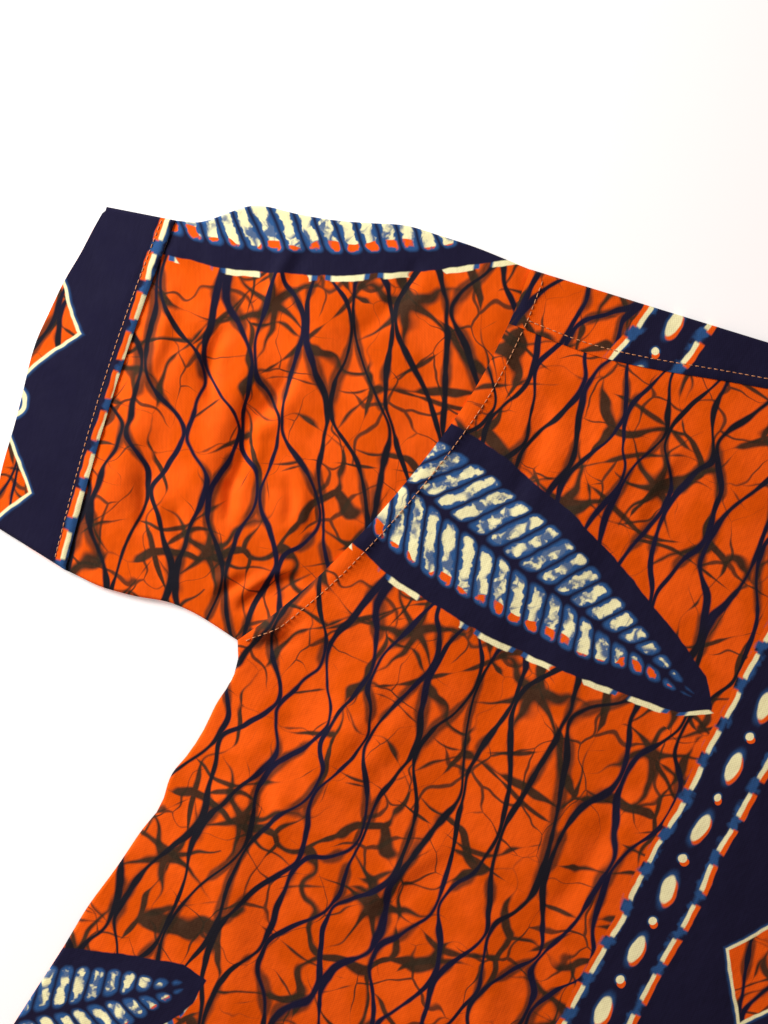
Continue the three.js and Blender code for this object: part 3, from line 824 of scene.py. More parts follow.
def lay_cloth(name, replaced, patches, cloth, doubled=False):
    """Makes a piece of cloth, with its material and its place in the frame."""
    piece = cloth_mesh(name, patches, cloth.double_thickness if doubled else cloth.thickness)
    piece.data.materials.append(cotton(cloth, doubled))
    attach(piece, "root")
    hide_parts(replaced)


# --- Materials ---

MATH = "ShaderNodeMath"
VECTOR = "ShaderNodeVectorMath"
RANGE = "ShaderNodeMapRange"
MIX = "ShaderNodeMix"
NOISE = "ShaderNodeTexNoise"
CELLS = "ShaderNodeTexVoronoi"
SPLIT = "ShaderNodeSeparateXYZ"
COMBINE = "ShaderNodeCombineXYZ"
TONE = "ShaderNodeHueSaturation"
MIX_COLOUR = 2

# The print in millimetres on the bolt: how far apart two seeds of noise are read, the spacing and length
# of the veins' cells, and the spacing of the knots
SEED_STEP = 977.0
VEINS = (14.0, 84.0)
CROSSING_VEINS = (25.0, 120.0)
KNOTS = 84.0

# What makes veins wander: the size, the push and the seed of each warp, and how far a vein swings, in cells
VEIN_WARPS = [(110, (16, 28), 0.0), (30, (3.6, 3.6), 0.8)]
VEIN_SWING = 0.44

# Half widths of a knot's cracks, from its middle to where they have faded, and its blot with its soft edge
KNOT_CRACKS = (2.7, -1.1)
KNOT_BLOT = (3.5, 3.2)

# The print's repeat, the two edges of its field and half the width of the border at each
TILE = (430.0, 460.0)
FIELD = (0.0, 95.0)
BORDER = 16.0

# A border's navy strip, its dashed line and the orange dashes outside it, its dashes and its ovals
STRIP_HALF = 17.5
LINE_AT = 14.6
ORANGE_AT = 16.8
DASH_PITCH = 21.0
OVAL_PITCH = 35.0

# The field's lozenges, half as wide and half as long as this, and the rings between them
LOZENGE_PITCH = 86.0
LOZENGE_WIDE = 25
LOZENGE_LONG = 33
RING = 7.5

# The leaves: a navy band, slanting cream bars and a fringe of dashes along one edge
FRINGE_PITCH = 27.0
BAR_SLANT = -0.55
BAR_CORNER = 2.4
RIB = 2.0
LEAVES = [
    dict(centre=(-200, -131), turn=-8, half_length=150, half_width=29, band=12, bars=10.5),
    dict(centre=(-268, -452), turn=40, half_length=78, half_width=22, band=10, bars=9),
]


def linear(colour):
    """sRGB hex to linear RGBA."""
    parts = [int(colour[i : i + 2], 16) / 255 for i in (1, 3, 5)]
    return [c / 12.92 if c <= 0.04045 else ((c + 0.055) / 1.055) ** 2.4 for c in parts] + [1]


def node(tree, kind, inputs=(), operation=None, out=0, **settings):
    """Adds a node with its settings and inputs, each a value or a link, and gives one of its outputs."""
    made = tree.nodes.new(kind)
    if operation:
        made.operation = operation
    for key, value in settings.items():
        setattr(made, key, value)
    for key, value in inputs.items() if isinstance(inputs, dict) else enumerate(inputs):
        if isinstance(value, bpy.types.NodeSocket):
            tree.links.new(value, made.inputs[key])
        else:
            made.inputs[key].default_value = value
    return made.outputs[out] if made.outputs else None


def within(tree, distance, edge, soft):
    """Mask that is 1 where a distance is less than an edge, with a soft change."""
    high = node(tree, MATH, [edge, soft], "ADD")
    low = node(tree, MATH, [edge, soft], "SUBTRACT")
    return node(tree, RANGE, [distance, low, high, 1, 0], interpolation_type="SMOOTHSTEP")


def cloud(tree, place, size, low, high, seed, values=(0, 1)):
    """Soft patches of about a size in millimetres, as values between two."""
    place = node(tree, VECTOR, [place, (SEED_STEP * seed, 0, 0)], "ADD")
    noise = node(tree, NOISE, {"Vector": place, "Scale": 1 / size, "Detail": 2.0}, noise_dimensions="2D")
    return node(tree, RANGE, [noise, low, high, *values], interpolation_type="SMOOTHSTEP")


def warped(tree, place, size, amount, seed, detail=1.0):
    """Places pushed about, so that what is drawn on them wanders as if by hand."""
    push = node(tree, VECTOR, [place, (SEED_STEP * seed, 0, 0)], "ADD")
    push = node(tree, NOISE, {"Vector": push, "Scale": 1 / size, "Detail": detail}, out=1,
                noise_dimensions="2D")
    push = node(tree, VECTOR, [push, (0.5, 0.5, 0.5)], "SUBTRACT")
    push = node(tree, VECTOR, [push, (2 * amount[0], 2 * amount[1], 0)], "MULTIPLY")
    return node(tree, VECTOR, [place, push], "ADD")


def joined(tree, operation, *masks):
    """Masks joined by an operation: MULTIPLY where all are 1, MAXIMUM where any is."""
    total = masks[0]
    for mask in masks[1:]:
        total = node(tree, MATH, [total, mask], operation)
    return total


def over(tree, ground, colour, mask, strength=1.0):
    """A colour laid over another by a mask."""
    mask = node(tree, MATH, [mask, strength], "MULTIPLY")
    return node(tree, MIX, {0: mask, 6: ground, 7: colour}, out=MIX_COLOUR, data_type="RGBA")


def from_repeat(tree, value, period, shift=0.0):
    """Signed distance from the nearest repeat of a line."""
    moved = node(tree, MATH, [value, shift], "SUBTRACT")
    return node(tree, MATH, [moved, period / 2, -period / 2], "WRAP")


def magnitude(tree, value):
    return node(tree, MATH, [value], "ABSOLUTE")


def vein_net(tree, place, spacing, length, seed):
    """Distance to the nearest of the wavy lines that part and meet to make lens-shaped cells."""
    for size, amount, shift in VEIN_WARPS:
        place = warped(tree, place, size, amount, seed + shift)
    across = node(tree, SPLIT, [place])
    down = across.node.outputs[1]
    across = node(tree, MATH, [across, spacing], "DIVIDE")
    swing = node(tree, MATH, [down, 2 * math.pi / length], "MULTIPLY")
    swing = node(tree, MATH, [swing], "COSINE")
    near = None
    for lean, shift in ((-VEIN_SWING, 0.0), (VEIN_SWING, 1.0)):
        line = node(tree, MATH, [swing, lean, across], "MULTIPLY_ADD")
        line = magnitude(tree, from_repeat(tree, line, 2.0, shift))
        near = line if near is None else node(tree, MATH, [near, line], "MINIMUM")
    return node(tree, MATH, [near, spacing], "MULTIPLY")


def cracks(tree, place, size, stretch, widths, spread, soft, seed):
    """Mask of a net of cracks whose lines swell into blots and fade to nothing."""
    place = warped(tree, place, size * 0.9, (size * 0.36, size * 0.36), seed, 1.5)
    scaled = node(tree, VECTOR, [place, (1 / size, 1 / (size * stretch), 0)], "MULTIPLY")
    edge = node(tree, CELLS, {"Vector": scaled, "Scale": 1.0}, feature="DISTANCE_TO_EDGE",
                voronoi_dimensions="2D")
    edge = node(tree, MATH, [edge, size], "MULTIPLY")
    width = cloud(tree, place, spread, 0.36, 0.68, seed + 0.5, widths)
    return within(tree, edge, width, soft)


def knots(tree, place, spacing, rays):
    """Mask of knots from which cracks run out, as where the wax was pinched."""
    place = warped(tree, place, 40, (13, 13), 5.2, 2.0)
    scaled = node(tree, VECTOR, [place, (1 / spacing, 1 / spacing, 0)], "MULTIPLY")
    reach = node(tree, CELLS, {"Vector": scaled, "Scale": 1.0, "Randomness": 0.9}, voronoi_dimensions="2D")
    cell = reach.node
    off = node(tree, VECTOR, [scaled, cell.outputs["Position"]], "SUBTRACT")
    off = node(tree, SPLIT, [off])
    angle = node(tree, MATH, [off.node.outputs[1], off], "ARCTAN2")
    spin = node(tree, SPLIT, [cell.outputs["Color"]])
    angle = node(tree, MATH, [spin, 6.0, angle], "MULTIPLY_ADD")
    ray = node(tree, MATH, [node(tree, MATH, [angle, rays], "MULTIPLY")], "SINE")
    far = node(tree, MATH, [reach, spacing], "MULTIPLY")
    off_ray = node(tree, MATH, [magnitude(tree, ray), far], "MULTIPLY")
    off_ray = node(tree, MATH, [off_ray, rays], "DIVIDE")
    width = node(tree, RANGE, [far, 0.0, 0.5 * spacing, *KNOT_CRACKS])
    return joined(tree, "MAXIMUM", within(tree, off_ray, width, 1.0), within(tree, far, *KNOT_BLOT))


def rounded_box(tree, across, along, corner):
    """Distance outside a box with round corners, from the distances outside its sides."""
    spot = node(tree, COMBINE, [across, along])
    spot = node(tree, VECTOR, [spot, (corner, corner, 0)], "ADD")
    spot = node(tree, VECTOR, [spot, (0, 0, 0)], "MAXIMUM")
    size = node(tree, VECTOR, [spot], "LENGTH", out=1)
    return node(tree, MATH, [size, corner], "SUBTRACT")


def bleed(tree, place):
    """Mask of indigo that has run into the cream, in streaked blots and fine cracks."""
    broad, small = cloud(tree, place, 24, 0.45, 0.55, 3.0), cloud(tree, place, 5, 0.38, 0.58, 4.0)
    fine = cracks(tree, place, 13, 1.5, (-0.9, 1.5), 22, 0.7, 12.0)
    return joined(tree, "MAXIMUM", joined(tree, "MULTIPLY", broad, small), fine)


def leaf_wear(tree, inks, place):
    """What is uneven in a leaf: broken dashes, the orange's shift, the bars' loss and their bled cream."""
    return dict(
        broken=cloud(tree, place, 34, 0.44, 0.47, 15.0),
        shift=cloud(tree, place, 26, 0.4, 0.6, 20.0, (-3.2, 1.2)),
        loss=cloud(tree, place, 6, 0.35, 0.68, 21.0, (-0.2, -2.1)),
        cream=over(tree, inks["cream"], inks["indigo"], bleed(tree, place), 0.93),
    )


def lay_leaf(tree, colour, inks, wear, place, centre, turn, half_length, half_width, band, bars):
    """A leaf: navy, with slanting cream bars on both sides of its rib, and cream dashes along one edge."""
    off = node(tree, VECTOR, [place, (*centre, 0)], "SUBTRACT")
    half = (TILE[0] / 2, TILE[1] / 2, 1)
    off = node(tree, VECTOR, [off, half, tuple(-h for h in half)], "WRAP")
    cos, sin = cos_sin(turn)
    along = node(tree, VECTOR, [off, (cos, sin, 0)], "DOT_PRODUCT", out=1)
    across = node(tree, VECTOR, [off, (-sin, cos, 0)], "DOT_PRODUCT", out=1)
    side, far = magnitude(tree, across), magnitude(tree, along)

    held = node(tree, MATH, [far, half_length], "MINIMUM")
    bulge = node(tree, MATH, [held, math.pi / 2 / half_length], "MULTIPLY")
    bulge = node(tree, MATH, [bulge], "COSINE")
    past = node(tree, MATH, [far, held], "SUBTRACT")
    edge = node(tree, MATH, [side, past], "ADD")
    edge = node(tree, MATH, [bulge, -half_width, edge], "MULTIPLY_ADD")

    one_side = within(tree, across, -1.0, 0.5)
    dash = magnitude(tree, from_repeat(tree, along, FRINGE_PITCH))
    for ink, length, fade, out in [("indigo", 11.5, 0.5, 2.5), ("cream", 8.5, 0.8, 3.0)]:
        strip, dashes = within(tree, edge, band + out, 0.4), within(tree, dash, length, fade)
        fringe = joined(tree, "MULTIPLY", strip, one_side, dashes, wear["broken"])
        colour = over(tree, colour, inks[ink], fringe)
    colour = over(tree, colour, inks["navy"], within(tree, edge, band, 0.5))

    slanted = node(tree, MATH, [side, BAR_SLANT, along], "MULTIPLY_ADD")
    bar = magnitude(tree, from_repeat(tree, slanted, bars))
    bar = node(tree, MATH, [bar, bars / 2 - 1.5], "SUBTRACT")
    rib = node(tree, MATH, [RIB, side], "SUBTRACT")
    bar = rounded_box(tree, bar, node(tree, MATH, [edge, rib], "MAXIMUM"), BAR_CORNER)
    colour = over(tree, colour, inks["indigo"], within(tree, bar, 0.6, 1.2))
    printed = node(tree, MATH, [edge, wear["shift"]], "ADD")
    misprint = node(tree, RANGE, [printed, -4.8, -4.2, 0, 1])
    cream = over(tree, wear["cream"], inks["orange"], joined(tree, "MULTIPLY", misprint, one_side))
    return over(tree, colour, cream, within(tree, bar, wear["loss"], 0.7))


def lay_border(tree, colour, inks, place):
    """A border on each side of the field: a navy strip with cream ovals and dots between dashed lines."""
    across = node(tree, SPLIT, [place])
    down = across.node.outputs[1]
    first, last = FIELD[0] - BORDER, FIELD[1] + BORDER
    across = node(tree, MATH, [across, first - 2 * BORDER], "MAXIMUM")
    across = node(tree, MATH, [across, last + 2 * BORDER], "MINIMUM")
    across = from_repeat(tree, across, last - first, first)
    side = magnitude(tree, across)
    colour = over(tree, colour, inks["navy"], within(tree, side, STRIP_HALF, 0.5))
    line = magnitude(tree, node(tree, MATH, [side, LINE_AT], "SUBTRACT"))
    haze = cloud(tree, place, 7, 0.35, 0.65, 22.0, (1.2, 3.4))
    colour = over(tree, colour, inks["indigo"], within(tree, line, haze, 1.4), 0.9)
    outside = magnitude(tree, node(tree, MATH, [side, ORANGE_AT], "SUBTRACT"))
    dash = magnitude(tree, from_repeat(tree, down, DASH_PITCH))
    for ink, off, wide, long in [("orange", outside, 1.5, 7.4), ("cream", line, 1.2, 6.6)]:
        dashes = joined(tree, "MULTIPLY", within(tree, off, wide, 0.4), within(tree, dash, long, 0.8))
        colour = over(tree, colour, inks[ink], dashes)
    for ink, move, grow, soft in [
        ("indigo", 0.0, 1.25, 0.35),
        ("orange", 1.5, 1.0, 0.12),
        ("cream", 0.0, 1.0, 0.12),
    ]:
        x = node(tree, MATH, [across, move], "SUBTRACT")
        for shift, wide, long in [(0.0, 3.3, 7.4), (OVAL_PITCH / 2, 2.0, 2.1)]:
            y = from_repeat(tree, down, OVAL_PITCH, shift - move)
            spot = node(tree, COMBINE, [x, y])
            spot = node(tree, VECTOR, [spot, (1 / wide / grow, 1 / long / grow, 0)], "MULTIPLY")
            size = node(tree, VECTOR, [spot], "LENGTH", out=1)
            colour = over(tree, colour, inks[ink], within(tree, size, 1.0, soft))
    return colour


def lay_field(tree, colour, inks, ground, place):
    """The navy field between two borders, with cream-edged lozenges and rings down its middle."""
    across = node(tree, SPLIT, [place])
    down = across.node.outputs[1]
    across = node(tree, MATH, [across, sum(FIELD) / 2], "SUBTRACT")
    side = magnitude(tree, across)
    colour = over(tree, colour, inks["navy"], within(tree, side, (FIELD[1] - FIELD[0]) / 2, 0.5))
    y = magnitude(tree, from_repeat(tree, down, LOZENGE_PITCH))
    y = node(tree, MATH, [y, 1 / LOZENGE_LONG], "MULTIPLY")
    lozenge = node(tree, MATH, [side, 1 / LOZENGE_WIDE, y], "MULTIPLY_ADD")
    colour = over(tree, colour, inks["indigo"], within(tree, lozenge, 1.04, 0.06))
    colour = over(tree, colour, inks["cream"], within(tree, lozenge, 1.0, 0.02))
    colour = over(tree, colour, ground, within(tree, lozenge, 0.92, 0.02))
    y = from_repeat(tree, down, LOZENGE_PITCH, LOZENGE_PITCH / 2)
    far = node(tree, VECTOR, [node(tree, COMBINE, [across, y])], "LENGTH", out=1)
    ring = magnitude(tree, node(tree, MATH, [far, RING], "SUBTRACT"))
    colour = over(tree, colour, inks["indigo"], within(tree, ring, 2.2, 1.0))
    colour = over(tree, colour, inks["cream"], within(tree, ring, 1.1, 0.4))
    return over(tree, colour, inks["cream"], within(tree, far, 2.4, 0.4))


def wax_print(cloth):
    """Node group of the print, drawn in the bolt's millimetres: veins, cracks, leaves and borders."""
    tree = bpy.data.node_groups.new("wax print", "ShaderNodeTree")
    tree.interface.new_socket("Place", in_out="INPUT", socket_type="NodeSocketVector")
    tree.interface.new_socket("Colour", in_out="OUTPUT", socket_type="NodeSocketColor")
    bolt = node(tree, "NodeGroupInput")
    inks = {}
    for ink in ("orange", "navy", "indigo", "cream", "brown"):
        inks[ink] = node(tree, "ShaderNodeRGB")
        inks[ink].default_value = (*getattr(cloth, ink), 1)

    # orange, a little uneven, under brown that ran into the wax's cracks and along the veins
    deep = node(tree, TONE, {"Saturation": 1.02, "Value": 0.84, "Color": inks["orange"]})
    ground = over(tree, deep, inks["orange"], cloud(tree, bolt, 30, 0.35, 0.6, 0.0))
    pale = node(tree, TONE, {"Value": 1.4, "Color": inks["brown"]})
    brown = over(tree, inks["brown"], pale, cloud(tree, bolt, 9, 0.45, 0.7, 13.0))
    brown = over(tree, brown, pale, cloud(tree, bolt, 1.3, 0.4, 0.65, 13.5), 0.6)
    veins = vein_net(tree, bolt, *VEINS, 1.3)
    stained = cloud(tree, bolt, 34, 0.42, 0.68, 19.0, (0.3, 3.8))
    ground = over(tree, ground, brown, within(tree, veins, stained, 1.3), 0.8)
    for size, stretch, widths, spread, soft, seed, strength in [
        (40, 1.3, (-0.2, 2.3), 30, 0.8, 7.0, 0.97),
        (27, 1.1, (-0.3, 0.9), 44, 0.5, 9.0, 0.86),
    ]:
        crack = cracks(tree, bolt, size, stretch, widths, spread, soft, seed)
        ground = over(tree, ground, brown, crack, strength)
    turned = node(tree, "ShaderNodeVectorRotate", {"Vector": bolt, "Angle": 1.3}, rotation_type="Z_AXIS")
    crossing = vein_net(tree, turned, *CROSSING_VEINS, 16.0)
    crossing = within(tree, crossing, cloud(tree, bolt, 36, 0.38, 0.66, 17.0, (-0.9, 1.6)), 0.8)
    ground = over(tree, ground, brown, crossing, 0.95)
    ground = over(tree, ground, brown, knots(tree, bolt, KNOTS, 3.0), 0.97)
    thick = cloud(tree, bolt, 26, 0.35, 0.68, 14.0, (0.85, 1.9))
    dark = node(tree, TONE, {"Saturation": 0.5, "Value": 0.5, "Color": inks["navy"]})
    vein = over(tree, inks["navy"], dark, cloud(tree, bolt, 120, 0.4, 0.58, 18.0))
    ground = over(tree, ground, vein, within(tree, veins, thick, 0.55))

    drawn = warped(tree, bolt, 40, (2.2, 2.2), 10.0)
    drawn = warped(tree, drawn, 7, (0.5, 0.5), 10.5)
    colour = ground
    wear = leaf_wear(tree, inks, drawn)
    for leaf in LEAVES:
        colour = lay_leaf(tree, colour, inks, wear, drawn, **leaf)
    middle = sum(FIELD) / 2
    wrap = [drawn, (middle + TILE[0] / 2, 1e5, 1), (middle - TILE[0] / 2, -1e5, -1)]
    strip = node(tree, VECTOR, wrap, "WRAP")
    colour = lay_field(tree, colour, inks, ground, strip)
    node(tree, "NodeGroupOutput", [lay_border(tree, colour, inks, strip)])
    return tree


def new_material(name):
    """An empty material and its node tree."""
    material = bpy.data.materials.new(name)
    material.use_nodes = True
    material.node_tree.nodes.clear()
    return material, material.node_tree


# Heights in the bump, in millimetres, of the weave, of thicker threads and of the crumpling, and how much
# brighter the print is on thicker threads
WEAVE_HEIGHT = 0.035
SLUB_HEIGHT = 0.1
CRUMPLING = 1.5
DOUBLED_CRUMPLING = 0.9
SLUB_DYE = 0.18


def printed_cotton(name, cloth, crumpling):
    """Plain-woven cotton, wax-printed on both faces: almost no sheen, a faint weave, slightly uneven dye."""
    material, tree = new_material(name)
    place = node(tree, "ShaderNodeUVMap", uv_map="bolt")
    place = node(tree, VECTOR, [place, (1000, 1000, 1000)], "MULTIPLY")
    group = bpy.data.node_groups.get("wax print") or wax_print(cloth)
    printed = node(tree, "ShaderNodeGroup", [place], node_tree=group)

    threads = node(tree, VECTOR, [place, (2 * math.pi / cloth.weave,) * 3], "MULTIPLY")
    threads = node(tree, VECTOR, [threads], "SINE")
    threads = node(tree, SPLIT, [threads])
    weave = node(tree, MATH, [threads, threads.node.outputs[1]], "MULTIPLY")
    slub = node(tree, VECTOR, [place, (0.9, 0.12, 0)], "MULTIPLY")
    slub = node(tree, NOISE, {"Vector": slub, "Scale": 1.0}, noise_dimensions="2D")
    slub = node(tree, MATH, [slub, 0.5], "SUBTRACT")
    crumple = node(tree, NOISE, {"Vector": place, "Scale": 1 / 16, "Detail": 3.0}, noise_dimensions="2D")
    height = node(tree, MATH, [weave, WEAVE_HEIGHT], "MULTIPLY")
    height = node(tree, MATH, [slub, SLUB_HEIGHT, height], "MULTIPLY_ADD")
    height = node(tree, MATH, [crumple, crumpling, height], "MULTIPLY_ADD")
    bump = node(tree, "ShaderNodeBump", {"Strength": 0.6, "Distance": MM, "Height": height})
    dye = node(tree, MATH, [slub, SLUB_DYE, 1.0], "MULTIPLY_ADD")
    colour = node(tree, TONE, {"Value": dye, "Color": printed})
    rough = node(tree, RANGE, [crumple, 0.3, 0.7, 0.7, 0.85])
    shader = node(tree, "ShaderNodeBsdfPrincipled", {
        "Base Color": colour, "Roughness": rough, "IOR": 1.46, "Specular IOR Level": 0.09,
        "Sheen Weight": 0.015, "Sheen Roughness": 0.5, "Normal": bump,
    })
    node(tree, "ShaderNodeOutputMaterial", [shader])
    return material


def spun_thread(cloth):
    """Spun polyester sewing thread: matt, with the twist of its plies, and painted shade in its grooves."""
    material, tree = new_material("spun sewing thread")
    place = node(tree, "ShaderNodeTexCoord", out=3)
    place = node(tree, VECTOR, [place, (1000, 1000, 1000)], "MULTIPLY")
    twist = cloud(tree, place, 0.5, 0.35, 0.6, 0.0)
    # Painted shade: the darker brown lies where the twist's bump is low, between the plies
    colour = over(tree, linear("#a8622c"), (*cloth.thread_colour, 1), twist)
    bump = node(tree, "ShaderNodeBump", {"Strength": 0.4, "Distance": 0.2 * MM, "Height": twist})
    shader = node(tree, "ShaderNodeBsdfPrincipled", {
        "Base Color": colour, "Roughness": 0.6, "Sheen Weight": 0.1, "Normal": bump})
    node(tree, "ShaderNodeOutputMaterial", [shader])
    return material


def cotton(cloth, doubled):
    """The printed cotton, made once and shared by the pieces. Folded double it creases less."""
    name = "plain-woven cotton, wax-printed" + (", folded double" if doubled else "")
    crumpling = DOUBLED_CRUMPLING if doubled else CRUMPLING
    return bpy.data.materials.get(name) or printed_cotton(name, cloth, crumpling)


# --- Settings ---


def colour_setting(name, description, colour):
    """A colour among the settings, from sRGB hex."""
    return bpy.props.FloatVectorProperty(
        name=name, description=description, subtype="COLOR", default=linear(colour)[:3])


class ShirtCloth(bpy.types.PropertyGroup):
    """Sizes and colours of the cloth and its thread."""

    thickness: bpy.props.FloatProperty(
        name="Cloth thickness", description="Thickness of one layer of cotton", default=0.7 * MM,
        unit="LENGTH", precision=5)
    double_thickness: bpy.props.FloatProperty(
        name="Folded thickness", description="Thickness of bands and binding, folded double",
        default=1.3 * MM, unit="LENGTH", precision=5)
    weave: bpy.props.FloatProperty(
        name="Weave spacing", description="Spacing of the drawn weave in millimetres, coarser than real",
        default=1.5)
    stitch_pitch: bpy.props.FloatProperty(
        name="Stitch pitch", description="Length of one stitch in millimetres", default=3.2)
    orange: colour_setting("Orange", "Ground of the print", "#f85f0e")
    navy: colour_setting("Navy", "Veins and bands", "#1c1a34")
    indigo: colour_setting("Indigo", "Dye that ran into the cream", "#2f5a90")
    cream: colour_setting("Cream", "Undyed places", "#fffbc2")
    brown: colour_setting("Brown", "Dye in the cracks of the wax", "#33281c")
    thread_colour: colour_setting("Thread", "Topstitching thread", "#e0a070")


class ShirtStage(bpy.types.PropertyGroup):
    """Floor, lights and camera."""

    floor: colour_setting("Floor", "Colour of the floor", "#f7f6f4")
    turn: bpy.props.FloatProperty(
        name="Turn", description="Turn of the picture over the shirt", subtype="ANGLE",
        default=math.radians(28))
    view_height: bpy.props.FloatProperty(
        name="View height", description="Height of the view on the shirt", default=0.5222, unit="LENGTH")
    lens: bpy.props.FloatProperty(name="Lens", description="Focal length in millimetres", default=60)
    window: bpy.props.FloatProperty(
        name="Window", description="Power of the window's light in watts", default=17.4)
    sky: bpy.props.FloatProperty(name="Sky", description="Strength of the light from all round", default=0.36)


def settings(context):
    """The cloth's and the stage's settings."""
    return context.scene.shirt_cloth, context.scene.shirt_stage


# --- Operators ---

# Each piece's cut: its turn on the bolt in degrees, a point of its plan, and where on the bolt that lay
FRONT_CUT = (0, (0, 0), (0, 0))
BACK_CUT = (0, (0, 0), (215, 96))
YOKE_CUT = (-10, (-148, 5), (-16, -40))
SLEEVE_CUTS = {-1: (28, (-322, -6), (-148, -131)), 1: (-24, (300, -30), (-150, 190))}
BAND_CUTS = {-1: (191, (-379, -150), (-5.5, 20)), 1: (-11, (379, -150), (-5.5, 64))}
BINDING_CUT = 7

# The binding: its columns, its rows, the share of the neck that its free rows take, how far it reaches from
# its edge, and its height over the front where its stitches lie
BINDING_STEPS = 7
BINDING_ROWS = dict(foot=4, slit=23, neck=60, behind=30)
BINDING_SPAN = (0.03, 0.96)
BINDING_REACH = BINDING_WIDTH + 0.6
BINDING_CROWN = 1.35

# Rows of stitches: the points that draw their paths, and where those of the yoke and the neck begin and end
PATH_POINTS = dict(armhole=160, yoke=120, band=120, hem=160, neck=100, slit=60)
YOKE_ROW = (92, 214)
NECK_ROW = (0.03, 0.9)

# Stitches, in millimetres or as a share of their pitch, and each ring's place, width and lift
STITCH_SIGHT = 0.4
STITCH_LENGTH = 0.78
STITCH_SPREAD = (0.92, 1.06)
STITCH_SWAY = 0.05
STITCH_THICK = 0.55
STITCH_LIFT = 0.12
STITCH_SIDES = 6
STITCH_RINGS = [
    (-0.5, 0.25, -0.5), (-0.36, 0.85, 0.35), (0.0, 1.0, 0.75), (0.36, 0.85, 0.35), (0.5, 0.25, -0.5),
]

# The stage, in metres, but for the view's centre on the layout
FLOOR_SIZE = 14
FLOOR_Z = -0.0005
VIEW_CENTRE = (-232.8, -143.9, 0)
WINDOW_OFF = (-0.82, 0.56, 0.55)
WINDOW_SIZE = 0.5
SENSOR = 36


class SHIRT_OT_front(bpy.types.Operator):
    """Front, one piece, cut short at the shoulders for the yoke"""

    bl_idname = "shirt.front"
    bl_label = "Front"

    def execute(self, context):
        cloth, _ = settings(context)
        grids = [
            lower_body(across=84, steps=154),
            upper_body(SLIT_Y, across=84, steps=34),
            chest(across=84, steps=52, neck_steps=38),
        ]
        patches = body_patches(grids, UPPER, front_height, FRONT_CUT)
        lay_cloth("front", "front_panel", patches, cloth)
        return {"FINISHED"}


class SHIRT_OT_back(bpy.types.Operator):
    """Back, one piece below the yoke, flat on the surface"""

    bl_idname = "shirt.back"
    bl_label = "Back"

    def execute(self, context):
        cloth, _ = settings(context)
        grids = [lower_body(across=36, steps=60), upper_body(YOKE_BACK_Y - 0.1, across=36, steps=18)]
        patches = body_patches(grids, LOWER, top_height, BACK_CUT)
        lay_cloth("back", "back_panel", patches, cloth)
        return {"FINISHED"}


class SHIRT_OT_yoke(bpy.types.Operator):
    """Yoke, from its lap over the fronts to the seam across the back"""

    bl_idname = "shirt.yoke"
    bl_label = "Yoke"

    def execute(self, context):
        cloth, _ = settings(context)
        patches = []
        for mirror in (1, -1):
            for grid, layer in yoke_grids(across=58, front_steps=12, back_steps=30, neck_steps=26):
                points = skin(grid, layer, LAP_RADIUS, yoke_height, mirror)
                spots = points if layer == UPPER else unfolded(points)
                patches.append((points, on_bolt(spots, *YOKE_CUT), layer))
        lay_cloth("yoke_cloth", "yoke", patches, cloth)
        return {"FINISHED"}


def unfolded(points):
    """Plan places of the lower layer, turned up about the shoulder fold."""
    fold = shoulder_y(np.abs(points[..., 0]))
    return plan(points[..., 0], 2 * fold - points[..., 1])


def sleeve_start(down):
    """The sleeve's end, tucked a little under the felled armhole."""
    y = mix(SHOULDER[1], UNDERARM[1], down)
    return plan(armhole_x(y) - SLEEVE_TUCK, y)


def band_seam(down):
    y = mix(BAND_TOP[1], BAND_UNDER[1], down)
    return plan(band_seam_x(y), y)


def cuff(down):
    y = mix(CUFF_TOP[1], CUFF_UNDER[1], down)
    return plan(curve_at(CUFF, y), y)


def sleeve_top(share):
    x = mix(SHOULDER[0] - SLEEVE_TUCK, BAND_TOP[0], np.clip(share, 0, 1))
    return plan(x, curve_at(SLEEVE_TOP, x))


def sleeve_under(share):
    x = mix(UNDERARM[0] - SLEEVE_TUCK, BAND_UNDER[0], np.clip(share, 0, 1))
    return plan(x, curve_at(SLEEVE_UNDER, x))


def tube_patches(grid, radius, height, mirror, cut):
    """Both layers of a flattened tube, printed right round from its top fold to its underarm seam."""
    upper = skin(grid, UPPER, radius, height, mirror)
    lower = skin(grid, LOWER, radius, height, mirror)
    fold = upper[:, :1, :2]
    way = unit(fold[-1, 0] - fold[0, 0])
    square = np.array([-way[1], way[0]])
    turned = lower[..., :2] - 2 * ((lower[..., :2] - fold) @ square)[..., None] * square
    return [(upper, on_bolt(upper, *cut), UPPER), (lower, on_bolt(turned, *cut), LOWER)]


class SHIRT_OT_sleeves(bpy.types.Operator):
    """Two set-in sleeves, flattened tubes between armhole and band"""

    bl_idname = "shirt.sleeves"
    bl_label = "Sleeves"

    def execute(self, context):
        cloth, _ = settings(context)
        for mirror, side in ((-1, "right"), (1, "left")):
            grid = tube_grid(
                sleeve_start, band_seam, sleeve_top, sleeve_under, steps=100, across=124, radius=RADIUS)
            patches = tube_patches(grid, RADIUS, sleeve_height, mirror, SLEEVE_CUTS[mirror])
            lay_cloth(f"{side}_sleeve_cloth", f"{side}_sleeve", patches, cloth)
        return {"FINISHED"}


